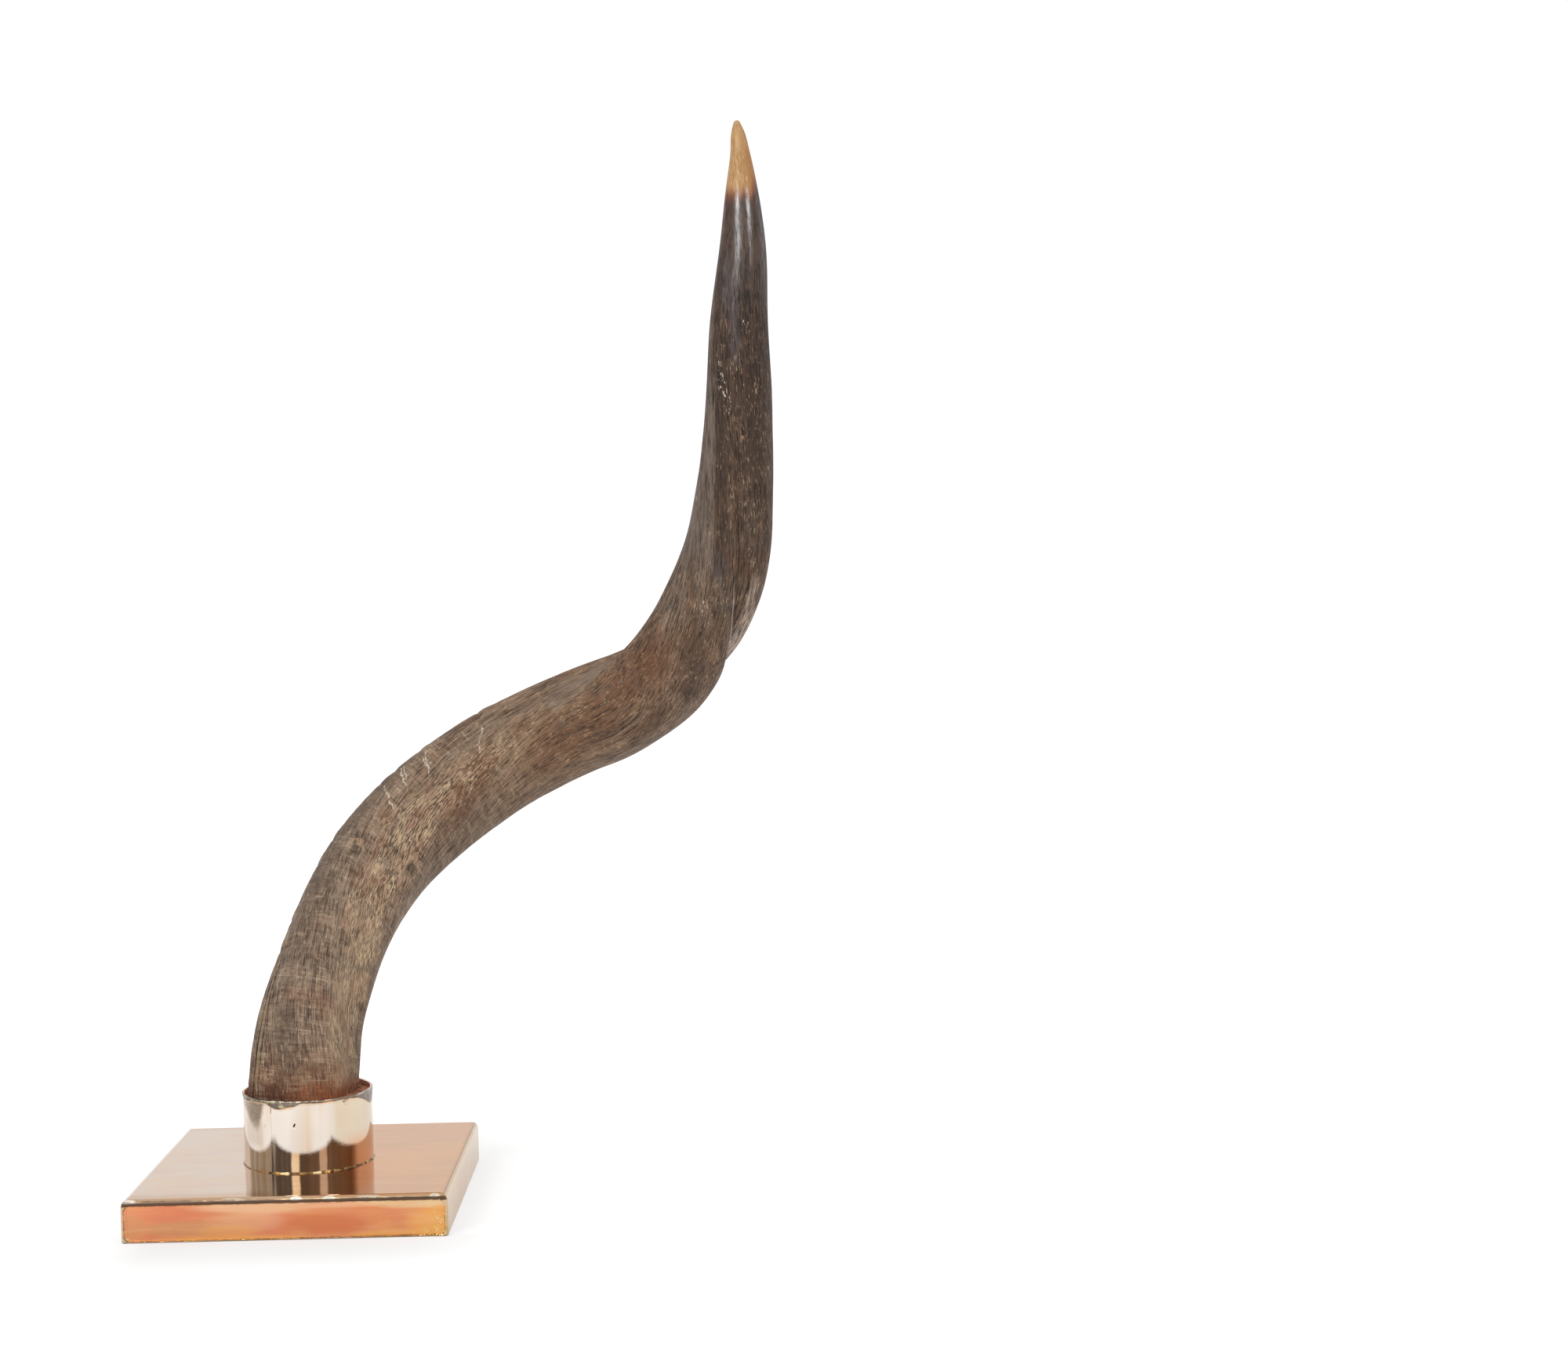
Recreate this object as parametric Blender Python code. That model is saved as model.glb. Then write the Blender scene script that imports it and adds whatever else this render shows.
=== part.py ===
# A twisted kudu horn, set upright in a polished collar on a square base covered in sheet metal.
#
# Lengths are in metres. X runs to the right along the base's front edge, Y goes back and Z is up.
# The origin is the middle of the base's underside.

import math

import bmesh
import bpy
from mathutils import Vector

for old in list(bpy.data.objects):
    bpy.data.objects.remove(old, do_unlink=True)

# Base: a wooden block under a sheet that is turned down at the sides
base_side = 0.178
base_height = 0.024
base_corner_radius = 0.0015
sheet_thickness = 0.0012
face_setback = 0.0006
lip_height = 0.0009
lip_setback = 0.0003
bead_height = 0.0033

# Space left between two pieces that touch
gap = 0.0003

# Collar: a thin band that stands on the base
collar_radius = 0.0368
collar_wall = 0.001
collar_height = 0.041
collar_edge = 0.0002

# Solder that fills the corner between the collar and the base
solder_width = 0.0012
solder_height = 0.0010

# Bedding stops a little below the collar's mouth
bedding_below_mouth = 0.0028

# The horn winds round a line that leans to the right, and its keels wind with it
winding_lean = math.radians(21)

# The horn's section has two keels, half a turn apart, each with a hollow beside it
keel_rise = 0.13
keel_spread = 0.36
hollow_depth = 0.22
hollow_spread = 0.38
back_hollow = math.radians(134)
front_hollow = math.radians(-46)

# Round the second bend the front keel and the front hollow run ahead of the winding, each by so
# many degrees at one length, fading over so many millimetres, and the front hollow is narrower
front_keel_turn = (29.5, 348, 50)
front_hollow_turn = (38.5, 402.5, 50)
front_hollow_narrowing = (0.13, 455, 60)

# Broad dents and swellings: length and reach in millimetres, bearing in degrees, reach in radians
# and depth as a part of the half width
horn_swellings = (
    (389, 28, -60, 0.60, -0.155),
    (446, 24, -38, 0.45, 0.097),
    (334, 24, -100, 0.50, -0.05),
)

# Stations up the horn: x, y and z of its middle, its half width towards the keels and across
# them, all in millimetres, then the keel's bearing in degrees and how strongly it shows
horn_stations = (
    (-2.4, 0.5, 24.3, 31.0, 31.0, 214, 0.20),
    (-2.4, 0.5, 45.0, 31.0, 31.0, 212, 0.30),
    (-1.9, 1.0, 68.0, 31.0, 31.0, 208, 0.45),
    (1.2, 10.0, 101.0, 28.5, 29.5, 190, 0.50),
    (9.0, 25.0, 130.0, 27.5, 29.5, 172, 0.50),
    (22.7, 49.0, 165.5, 29.0, 31.0, 150, 0.50),
    (43.4, 73.0, 196.0, 30.5, 32.0, 126, 0.60),
    (73.5, 93.0, 222.5, 31.0, 32.5, 102, 0.80),
    (111.5, 104.0, 247.0, 31.0, 32.5, 79, 1.00),
    (155.0, 101.0, 267.0, 32.5, 33.0, 57, 1.00),
    (198.5, 83.0, 285.5, 32.5, 32.5, 43, 1.00),
    (227.5, 57.0, 322.5, 25.5, 26.0, 21, 1.00),
    (246.0, 33.0, 361.0, 23.5, 24.0, -5, 0.90),
    (254.0, 8.0, 407.0, 21.5, 22.0, -26, 0.65),
    (257.0, -8.0, 453.0, 18.5, 19.5, -46, 0.40),
    (258.0, -18.0, 499.0, 16.0, 16.5, -60, 0.30),
    (261.0, -21.0, 542.0, 12.5, 13.0, -72, 0.20),
    (261.0, -22.0, 572.0, 8.7, 9.2, -80, 0.10),
    (260.5, -21.0, 593.0, 5.2, 5.6, -86, 0.00),
    (259.3, -19.5, 606.5, 3.2, 3.3, -90, 0.00),
    (259.0, -19.0, 610.0, 2.0, 2.0, -90, 0.00),
)
horn_rings = 66
horn_around = 36
round_segments = 64


def curve_through(places, values, at):
    """Value at one place on a smooth curve through the stations."""
    last = len(places) - 2
    k = 0
    while k < last and places[k + 1] < at:
        k += 1

    def slope(i):
        if i == 0:
            return (values[1] - values[0]) / (places[1] - places[0])
        if i == len(places) - 1:
            return (values[i] - values[i - 1]) / (places[i] - places[i - 1])
        before = places[i] - places[i - 1]
        after = places[i + 1] - places[i]
        left = (values[i] - values[i - 1]) / before
        right = (values[i + 1] - values[i]) / after
        return (left * after + right * before) / (before + after)

    span = places[k + 1] - places[k]
    u = (at - places[k]) / span
    start = values[k] * (2 * u ** 3 - 3 * u ** 2 + 1) + slope(k) * span * (u ** 3 - 2 * u ** 2 + u)
    end = values[k + 1] * (3 * u ** 2 - 2 * u ** 3) + slope(k + 1) * span * (u ** 3 - u ** 2)
    return start + end


station_middles = [Vector(row[:3]) * 0.001 for row in horn_stations]
station_places = [0.0]
for one, other in zip(station_middles, station_middles[1:]):
    station_places.append(station_places[-1] + (other - one).length)
station_columns = list(zip(*horn_stations))
horn_length = station_places[-1]


def horn_middle(at):
    x, y, z = (curve_through(station_places, station_columns[k], at) for k in range(3))
    return Vector((x, y, z)) * 0.001


def bump(angle, place, spread):
    away = (angle - place + math.pi) % (2 * math.pi) - math.pi
    return math.exp(-(away / spread) ** 2)


def fade(away, reach):
    return math.exp(-(away / reach) ** 2)


def horn_size(angle, at, strength):
    """How far one bearing of a section stands out, as a part of the half width."""
    length = at * 1000
    keel_ahead = math.radians(front_keel_turn[0]) * fade(length - front_keel_turn[1], front_keel_turn[2])
    hollow_ahead = math.radians(front_hollow_turn[0]) * fade(length - front_hollow_turn[1], front_hollow_turn[2])
    narrowing = front_hollow_narrowing[0] * fade(length - front_hollow_narrowing[1], front_hollow_narrowing[2])
    rise = keel_rise * (bump(angle, keel_ahead, keel_spread) + bump(angle, math.pi, keel_spread))
    sink = hollow_depth * (bump(angle, back_hollow, hollow_spread)
                           + bump(angle, front_hollow + hollow_ahead, hollow_spread - narrowing))
    swelling = sum(depth * fade(length - place, reach) * bump(angle, math.radians(bearing), wide)
                   for place, reach, bearing, wide, depth in horn_swellings)
    return 1 + (rise - sink) * strength + swelling


def horn_ring(at, grow=0.0):
    """Points round the horn at one length along it, pushed out by grow."""
    step = 0.0005
    middle = horn_middle(at)
    ahead = horn_middle(min(at + step, horn_length))
    behind = horn_middle(max(at - step, 0.0))
    along = (ahead - behind).normalized()
    toward = curve_through(station_places, station_columns[3], at) * 0.001
    across = curve_through(station_places, station_columns[4], at) * 0.001
    bearing = math.radians(curve_through(station_places, station_columns[5], at))
    strength = curve_through(station_places, station_columns[6], at)
    sideways = Vector((math.cos(winding_lean), 0, -math.sin(winding_lean)))
    keel = sideways * math.cos(bearing) + Vector((0, 1, 0)) * math.sin(bearing)
    keel = (keel - along * keel.dot(along)).normalized()
    cross = along.cross(keel)
    points = []
    for k in range(horn_around):
        angle = 2 * math.pi * k / horn_around
        size = horn_size(angle, at, strength)
        out = keel * (size * toward * math.cos(angle)) + cross * (size * across * math.sin(angle))
        points.append(middle + out + out.normalized() * grow)
    return points


def circle(radius, height):
    step = 2 * math.pi / round_segments
    return [Vector((radius * math.cos(step * k), radius * math.sin(step * k), height))
            for k in range(round_segments)]


def rounded_square(half, corner, height):
    """Square ring with rounded corners, six points to a corner."""
    points = []
    for turn in range(4):
        for k in range(6):
            angle = math.radians(90 * turn + 18 * k)
            middle_x = (half - corner) * (1 if turn in (0, 3) else -1)
            middle_y = (half - corner) * (1 if turn in (0, 1) else -1)
            points.append(Vector((middle_x + corner * math.cos(angle),
                                  middle_y + corner * math.sin(angle), height)))
    return points


def add_band(shape, one, other):
    """Faces between two rings with the same number of points."""
    count = len(one)
    for k in range(count):
        nxt = (k + 1) % count
        shape.faces.new((one[k], one[nxt], other[nxt], other[k])).smooth = True


def add_cap(shape, ring, middle):
    centre = shape.verts.new(middle)
    for k in range(len(ring)):
        shape.faces.new((ring[k], ring[(k + 1) % len(ring)], centre))


def lofted(rings, start_middle, end_middle):
    """Closed solid through the rings, capped at both ends."""
    shape = bmesh.new()
    rows = [[shape.verts.new(point) for point in ring] for ring in rings]
    for one, other in zip(rows, rows[1:]):
        add_band(shape, one, other)
    add_cap(shape, rows[0], start_middle)
    add_cap(shape, rows[-1], end_middle)
    return shape


def looped(rings):
    """Closed solid through the rings and back to the first one."""
    shape = bmesh.new()
    rows = [[shape.verts.new(point) for point in ring] for ring in rings]
    for one, other in zip(rows, rows[1:] + rows[:1]):
        add_band(shape, one, other)
    return shape


def add_piece(name, shape, colour, roughness, metallic):
    bmesh.ops.recalc_face_normals(shape, faces=shape.faces[:])
    mesh = bpy.data.meshes.new(name)
    shape.to_mesh(mesh)
    shape.free()
    mesh.set_sharp_from_angle(angle=math.radians(40))
    piece = bpy.data.objects.new(name, mesh)
    bpy.context.scene.collection.objects.link(piece)
    surface = bpy.data.materials.new(name)
    surface.use_nodes = True
    shader = surface.node_tree.nodes["Principled BSDF"]
    shader.inputs["Base Color"].default_value = (*colour, 1)
    shader.inputs["Roughness"].default_value = roughness
    shader.inputs["Metallic"].default_value = metallic
    mesh.materials.append(surface)
    return piece


# Horn: rings along its length, closed by a flat cut at the foot and a blunt point at the tip
horn_steps = [horn_length * k / (horn_rings - 1) for k in range(horn_rings)]
horn_tip = horn_middle(horn_length) + Vector((-0.0002, 0, 0.0016))
horn = lofted([horn_ring(at) for at in horn_steps], horn_middle(0), horn_tip)
add_piece("horn", horn, (0.13, 0.09, 0.06), 0.6, 0.0)

# Collar: a band with its edges just broken
collar_foot = base_height + gap
collar_mouth = collar_foot + collar_height
collar_inside = collar_radius - collar_wall
collar = looped([
    circle(collar_radius - collar_edge, collar_foot),
    circle(collar_radius, collar_foot + collar_edge),
    circle(collar_radius, collar_mouth - collar_edge),
    circle(collar_radius - collar_edge, collar_mouth),
    circle(collar_inside + collar_edge, collar_mouth),
    circle(collar_inside, collar_mouth - collar_edge),
    circle(collar_inside, collar_foot + collar_edge),
    circle(collar_inside + collar_edge, collar_foot),
])
add_piece("collar", collar, (0.86, 0.76, 0.62), 0.16, 1.0)

# Bedding: follows the horn inside and the collar outside
bedding_top = collar_mouth - bedding_below_mouth - base_height
bedding_inner = []
bedding_outer = []
for at in (0.0005, 0.012, 0.024, bedding_top):
    inner = horn_ring(at, grow=gap)
    outer = []
    for point in inner:
        flat = Vector((point.x, point.y, 0)).normalized() * (collar_inside - gap)
        outer.append(Vector((flat.x, flat.y, point.z)))
    bedding_inner.append(inner)
    bedding_outer.append(outer)
bedding = looped(bedding_outer + bedding_inner[::-1])
add_piece("bedding", bedding, (0.24, 0.10, 0.05), 0.85, 0.0)

# Solder bead: a hollow fillet round the collar's foot
solder_inside = collar_radius + gap
solder_foot = base_height + gap
solder = looped([
    circle(solder_inside, solder_foot),
    circle(solder_inside + solder_width, solder_foot),
    circle(solder_inside + solder_width * 0.8, solder_foot + solder_height * 0.3),
    circle(solder_inside + solder_width * 0.4, solder_foot + solder_height * 0.6),
    circle(solder_inside + solder_width * 0.2, solder_foot + solder_height),
    circle(solder_inside, solder_foot + solder_height * 1.1),
])
add_piece("solder_bead", solder, (0.25, 0.23, 0.19), 0.45, 1.0)

# Cladding: an open-bottomed cover, from the ceiling of its inside round to the middle of its top
half = base_side / 2
ceiling = base_height - sheet_thickness
inside_setback = face_setback + sheet_thickness
bead_foot = base_height - bead_height
cladding_outline = (
    (inside_setback, ceiling),
    (inside_setback, 0.0),
    (lip_setback, 0.0),
    (lip_setback, lip_height),
    (face_setback, lip_height + 0.0002),
    (face_setback, bead_foot - 0.0003),
    (face_setback * 0.4, bead_foot),
    (0.0, bead_foot + bead_height * 0.2),
    (0.0002, base_height - bead_height * 0.5),
    (0.0009, base_height - bead_height * 0.2),
    (0.0023, base_height),
)
cladding = lofted(
    [rounded_square(half - setback, max(base_corner_radius - setback, 0.0004), height)
     for setback, height in cladding_outline],
    Vector((0, 0, ceiling)), Vector((0, 0, base_height)))
add_piece("base_cladding", cladding, (0.80, 0.50, 0.33), 0.22, 1.0)

# Block: fills the cladding and stands level with its lower edge
block_half = half - inside_setback - gap
block_top = ceiling - gap
block_edge = 0.0006
block = lofted([
    rounded_square(block_half - block_edge, 0.001, 0.0),
    rounded_square(block_half, 0.001, block_edge),
    rounded_square(block_half, 0.001, block_top - block_edge),
    rounded_square(block_half - block_edge, 0.001, block_top),
], Vector((0, 0, 0)), Vector((0, 0, block_top)))
add_piece("base_block", block, (0.42, 0.29, 0.17), 0.75, 0.0)
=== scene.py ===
# A kudu horn in a polished collar on a square copper-covered base, on a plain pale floor.
# Lengths are in metres unless a line says millimetres. X runs right along the base's front edge, Z is up.
import math

import bmesh
import bpy
from mathutils import Matrix, Vector, noise


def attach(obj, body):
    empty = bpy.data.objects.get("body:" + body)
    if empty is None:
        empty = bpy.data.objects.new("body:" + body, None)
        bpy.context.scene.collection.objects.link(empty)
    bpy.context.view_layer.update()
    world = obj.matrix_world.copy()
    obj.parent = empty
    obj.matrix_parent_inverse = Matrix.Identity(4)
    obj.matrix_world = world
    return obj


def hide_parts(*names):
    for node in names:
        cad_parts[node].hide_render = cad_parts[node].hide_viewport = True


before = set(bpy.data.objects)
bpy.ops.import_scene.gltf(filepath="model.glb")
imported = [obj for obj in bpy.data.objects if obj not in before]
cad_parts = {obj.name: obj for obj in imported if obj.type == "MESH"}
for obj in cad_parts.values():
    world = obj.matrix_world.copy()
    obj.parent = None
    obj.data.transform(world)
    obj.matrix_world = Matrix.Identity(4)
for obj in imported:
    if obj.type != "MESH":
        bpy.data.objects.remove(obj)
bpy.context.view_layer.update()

mm = 0.001
scene = bpy.context.scene
print("frame loaded")


# Small tools for node trees

def tone(levels):
    # a display colour, 0 to 255 each, as the linear colour that shaders take
    parts = [level / 255 for level in levels]
    return [part / 12.92 if part <= 0.04045 else ((part + 0.055) / 1.055) ** 2.4 for part in parts] + [1]


class Wire:
    # one output socket, which can stand in a sum
    def __init__(self, sheet, socket):
        self.sheet = sheet
        self.socket = socket

    def other(self, name):
        return Wire(self.sheet, self.socket.node.outputs[name])

    def sum(self, operation, first, second):
        return self.sheet.node("Math", {"operation": operation}, {0: first, 1: second})

    def __add__(self, second):
        return self.sum("ADD", self, second)

    def __radd__(self, first):
        return self.sum("ADD", first, self)

    def __sub__(self, second):
        return self.sum("SUBTRACT", self, second)

    def __rsub__(self, first):
        return self.sum("SUBTRACT", first, self)

    def __mul__(self, second):
        return self.sum("MULTIPLY", self, second)

    def __rmul__(self, first):
        return self.sum("MULTIPLY", first, self)

    def __truediv__(self, second):
        return self.sum("DIVIDE", self, second)

    def __abs__(self):
        return self.sum("ABSOLUTE", self, 0)


class NodeSheet:
    # a node tree, filled node by node
    def __init__(self, tree):
        self.tree = tree
        tree.nodes.clear()

    def node(self, kind, settings=None, values=None):
        made = self.tree.nodes.new("ShaderNode" + kind)
        for name, setting in (settings or {}).items():
            if name == "stops":
                points = made.color_ramp.elements
                while len(points) < len(setting):
                    points.new(0.5)
                for point, (place, colour) in zip(points, setting):
                    point.position = place
                    point.color = colour
            else:
                setattr(made, name, setting)
        for name, value in (values or {}).items():
            if isinstance(name, int):
                socket = made.inputs[name]
            else:
                socket = next(one for one in made.inputs if one.name == name and one.enabled)
            if isinstance(value, Wire):
                self.tree.links.new(value.socket, socket)
            else:
                socket.default_value = value
        return Wire(self, next((one for one in made.outputs if one.enabled), None))


def between(value, low, high):
    # 0 below low, 1 above high and a soft step in the middle
    return value.sheet.node("MapRange", {"interpolation_type": "SMOOTHSTEP"},
                            {"Value": value, "From Min": low, "From Max": high})


def band(value, low, rising, falling, high):
    # 1 from rising to falling, with soft steps to 0 at low and high
    return between(value, low, rising) * (1 - between(value, falling, high))


def blend(amount, first, second):
    # mixes two colours, of which three numbers alone are a display colour
    first, second = [tone(one) if isinstance(one, tuple) and len(one) == 3 else one
                     for one in (first, second)]
    return amount.sheet.node("Mix", {"data_type": "RGBA"}, {"Factor": amount, "A": first, "B": second})


def stretched(place, factors):
    return place.sheet.node("VectorMath", {"operation": "MULTIPLY"}, {0: place, 1: factors})


def grain(place, scale, detail, rough, bend=0.0):
    # noise that swings round 0, seldom past 0.25 either way
    return place.sheet.node("TexNoise", None, {"Vector": place, "Scale": scale, "Detail": detail,
                                               "Roughness": rough, "Distortion": bend}) - 0.5


def split(place):
    parts = place.sheet.node("SeparateXYZ", None, {"Vector": place})
    return parts.other("X"), parts.other("Y"), parts.other("Z")


def lengthOf(place):
    return place.sheet.node("VectorMath", {"operation": "LENGTH"}, {0: place}).other("Value")


def spotAt(place, middle, reach):
    # 1 at the middle, fading to 0 at the reach along each axis, both in millimetres
    middle = [one * mm for one in middle]
    away = place.sheet.node("VectorMath", {"operation": "SUBTRACT"}, {0: place, 1: middle})
    return 1 - between(lengthOf(stretched(away, [1 / (one * mm) for one in reach])), 0.25, 1.0)


class Finish(NodeSheet):
    # a material with one Principled shader, whose colour is laid on coat by coat
    def __init__(self, name, look, constants=None):
        self.material = bpy.data.materials.new(name)
        self.material.use_nodes = True
        super().__init__(self.material.node_tree)
        self.shader = self.node("BsdfPrincipled", None, constants)
        self.node("OutputMaterial", None, {"Surface": self.shader})
        self.look = look
        self.colour = None

    def paint(self, amount, shade):
        # one more coat: the name of a colour of the piece, or a wire
        self.colour = blend(amount, self.colour, self.look[shade] if isinstance(shade, str) else shade)

    def feed(self, height, depth, **values):
        # the colour so far, a bump of a depth in millimetres, and what is given
        bump = self.node("Bump", None, {"Height": height, "Distance": depth * mm, "Strength": 1.0})
        values.update(Base_Color=self.colour, Normal=bump)
        for name, value in values.items():
            self.link(value, name.replace("_", " "))

    def link(self, value, name):
        socket = self.shader.socket.node.inputs[name]
        if isinstance(value, Wire):
            self.tree.links.new(value.socket, socket)
        else:
            socket.default_value = value

    def here(self):
        return self.node("TexCoord").other("Object")

    def carried(self, name):
        return self.node("Attribute", {"attribute_name": name}).other("Vector")


def nextRing(shape, edges):
    # extrudes a ring of edges and gives the new points and the new ring
    made = bmesh.ops.extrude_edge_only(shape, edges=edges)["geom"]
    verts = [one for one in made if isinstance(one, bmesh.types.BMVert)]
    kept = set(verts)
    return verts, [one for one in made if isinstance(one, bmesh.types.BMEdge) and kept.issuperset(one.verts)]


def outwards(place):
    return Vector((place.x, place.y, 0)).normalized()


def spunShape(outline, steps):
    # a closed outline, of reach and height in millimetres, spun once round the upright axis
    shape = bmesh.new()
    verts = [shape.verts.new((reach * mm, 0, height * mm)) for reach, height in outline]
    edges = [shape.edges.new(pair) for pair in zip(verts, verts[1:] + verts[:1])]
    bmesh.ops.spin(shape, geom=verts + edges, cent=(0, 0, 0), axis=(0, 0, 1), dvec=(0, 0, 0),
                   angle=2 * math.pi, steps=steps, use_merge=True, use_duplicate=False)
    bmesh.ops.remove_doubles(shape, verts=shape.verts[:], dist=1e-7)
    bmesh.ops.recalc_face_normals(shape, faces=shape.faces[:])
    return shape


def meshObject(name, shape, finish):
    mesh = bpy.data.meshes.new(name)
    shape.to_mesh(mesh)
    shape.free()
    mesh.materials.append(finish.material)
    made = bpy.data.objects.new(name, mesh)
    scene.collection.objects.link(made)
    return made


def makePiece(name, shape, finish, node):
    piece = meshObject(name, shape, finish)
    piece.data.shade_smooth()
    piece.data.set_sharp_from_angle(angle=math.radians(finish.look["sharpFrom"]))
    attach(piece, "root")
    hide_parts(node)
    print(name, "has", len(piece.data.polygons), "faces")


# Camera, set where the photograph was taken from

cameraSetup = {
    "place": (0.2507, -1.5167, 0.3786),
    "turnedRight": 1.1,         # degrees from straight at the base's front
    "tiltedDown": 3.17, "rolled": -1.1,
    "lens": 60.66,              # millimetres, on a sensor 36 wide
}
camera = bpy.data.objects.new("camera", bpy.data.cameras.new("camera"))
camera.data.sensor_width = 36
camera.data.lens = cameraSetup["lens"]
camera.data.clip_start = 0.05
camera.matrix_world = (
    Matrix.Translation(cameraSetup["place"])
    @ Matrix.Rotation(math.radians(-cameraSetup["turnedRight"]), 4, "Z")
    @ Matrix.Rotation(math.radians(90 - cameraSetup["tiltedDown"]), 4, "X")
    @ Matrix.Rotation(math.radians(cameraSetup["rolled"]), 4, "Z"))
scene.collection.objects.link(camera)
scene.camera = camera
scene.view_settings.view_transform = "Standard"
scene.view_settings.look = "None"
print("camera set")


# Studio: pale floor, soft lamps, and a bright room with a dim side behind the camera

studio = {
    "floorRadius": 9.0, "floorShade": (0.25, 0.25, 0.25, 1),
    "floorGlow": 0.66,   # beside the base; the next values come on top, with distance and at either side
    "nearGlow": 0.09, "sideGlow": 0.06, "leftGlow": 0.08, "farGlow": 0.10, "frontShade": 0.075,
    # the room, its dim side with the colours of that side's cold and warm parts and its uprights,
    # then two openings in it, the dusk left of it, and what the camera sees straight on
    "roomLight": 0.95, "dimSide": 0.22,
    "dimTints": ((0.62, 0.54, 0.50), (1.08, 0.80, 0.58), (2.2, 1.7, 1.2)),
    "leftOpening": (1.55, 1.42, 1.10, 1), "rightOpening": (0.95, 0.84, 0.70, 1),
    "dusk": (0.43, 0.37, 0.28, 1), "backdrop": (1.1, 1.1, 1.1, 1),
    "lamps": (
        # name, place, aimed at, width, height, watts
        ("highLeftLamp", (-1.0, -1.5, 1.7), (0.12, 0.0, 0.3), 1.3, 1.0, 3),
        ("highRightLamp", (1.3, -1.3, 1.5), (0.15, 0.0, 0.3), 0.9, 0.9, 3.5),
        ("nearLeftLamp", (-0.63, -1.225, 1.08), (0.26, -0.02, 0.55), 0.60, 0.66, 14.5),
        ("nearRightLamp", (1.22, -1.15, 1.16), (0.26, -0.02, 0.55), 0.56, 0.50, 8.0),
    ),
}

floorShape = bmesh.new()
bmesh.ops.create_circle(floorShape, cap_ends=True, radius=studio["floorRadius"], segments=96)
floorFinish = Finish("pale floor", studio, {"Base Color": studio["floorShade"], "Roughness": 0.9,
                                            "Specular IOR Level": 0.0, "Emission Strength": 1.0})
floorX, floorY = split(floorFinish.here())[:2]
beyond = floorX.sum("MAXIMUM", abs(floorX), abs(floorY))
floorLight = studio["floorGlow"]
# the glow rises away from the base and at its sides, painting a soft shadow round the base
for value, low, high, extra in ((floorX, 0.02, 0.14, "sideGlow"), (0 - floorX, 0.07, 0.10, "leftGlow"),
                                (beyond, 0.100, 0.180, "nearGlow"), (beyond, 0.16, 0.36, "farGlow")):
    floorLight = floorLight + between(value, low, high) * studio[extra]
# a painted shadow in front of the base
shadowInFront = band(0 - floorY, 0.080, 0.089, 0.098, 0.180) * (1 - between(abs(floorX - 0.005), 0.065, 0.125))
floorLight = floorLight - shadowInFront * studio["frontShade"]
floorFinish.link(floorLight, "Emission Color")
floor = meshObject("floor", floorShape, floorFinish)

for name, place, target, width, height, watts in studio["lamps"]:
    lamp = bpy.data.lights.new(name, "AREA")
    lamp.shape = "RECTANGLE"
    lamp.size, lamp.size_y, lamp.energy = width, height, watts
    holder = bpy.data.objects.new(name, lamp)
    holder.location = place
    holder.rotation_mode = "QUATERNION"
    holder.rotation_quaternion = (Vector(target) - Vector(place)).to_track_quat("-Z", "Y")
    holder.visible_camera = False
    scene.collection.objects.link(holder)

world = bpy.data.worlds.new("room")
scene.world = world
world.use_nodes = True
room = NodeSheet(world.node_tree)
towards = room.node("TexCoord").other("Generated")
sideways, back, up = split(towards)
around = up.sum("ARCTAN2", sideways, 0 - back)
dimAround = band(around, -1.0, -0.88, 1.56, 1.90)
dimUp = band(up, -0.03, 0.02, 0.42, 0.62)
leftOpening = band(around, -0.41, -0.37, -0.17, -0.13)
rightOpening = band(around, 0.45, 0.50, 0.66, 0.72)
duskyLeft = band(around, -2.25, -1.95, -1.0, -0.88) * dimUp
dim = dimAround * dimUp * (1 - leftOpening) * (1 - rightOpening)
cold, warm, beam = [[one * studio["dimSide"] for one in tint] + [1] for tint in studio["dimTints"]]
uprights = grain(room.node("CombineXYZ", None, {"X": around}), 7, 3, 0.6)
dimColour = blend(between(around, -0.2, 0.6), cold, warm)
dimColour = blend(between(uprights, -0.15, 0.20) * 0.30, dimColour, beam)
roomColour = blend(dim, (1, 1, 1, 1), dimColour)
leftShade = duskyLeft * (0.68 + between(uprights, -0.10, 0.10) * 0.28)
roomColour = blend(leftShade, roomColour, studio["dusk"])
roomColour = blend(leftOpening * dimUp, roomColour, studio["leftOpening"])
roomColour = blend(rightOpening * dimUp, roomColour, studio["rightOpening"])
seen = room.node("LightPath").other("Is Camera Ray")
roomColour = blend(seen, roomColour, studio["backdrop"])
glow = room.node("Background", None, {"Color": roomColour, "Strength": studio["roomLight"]})
room.node("OutputWorld", None, {"Surface": glow})
print("studio set")


# Horn: a straight rod of rings, roughened, then laid along its winding line

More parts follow.
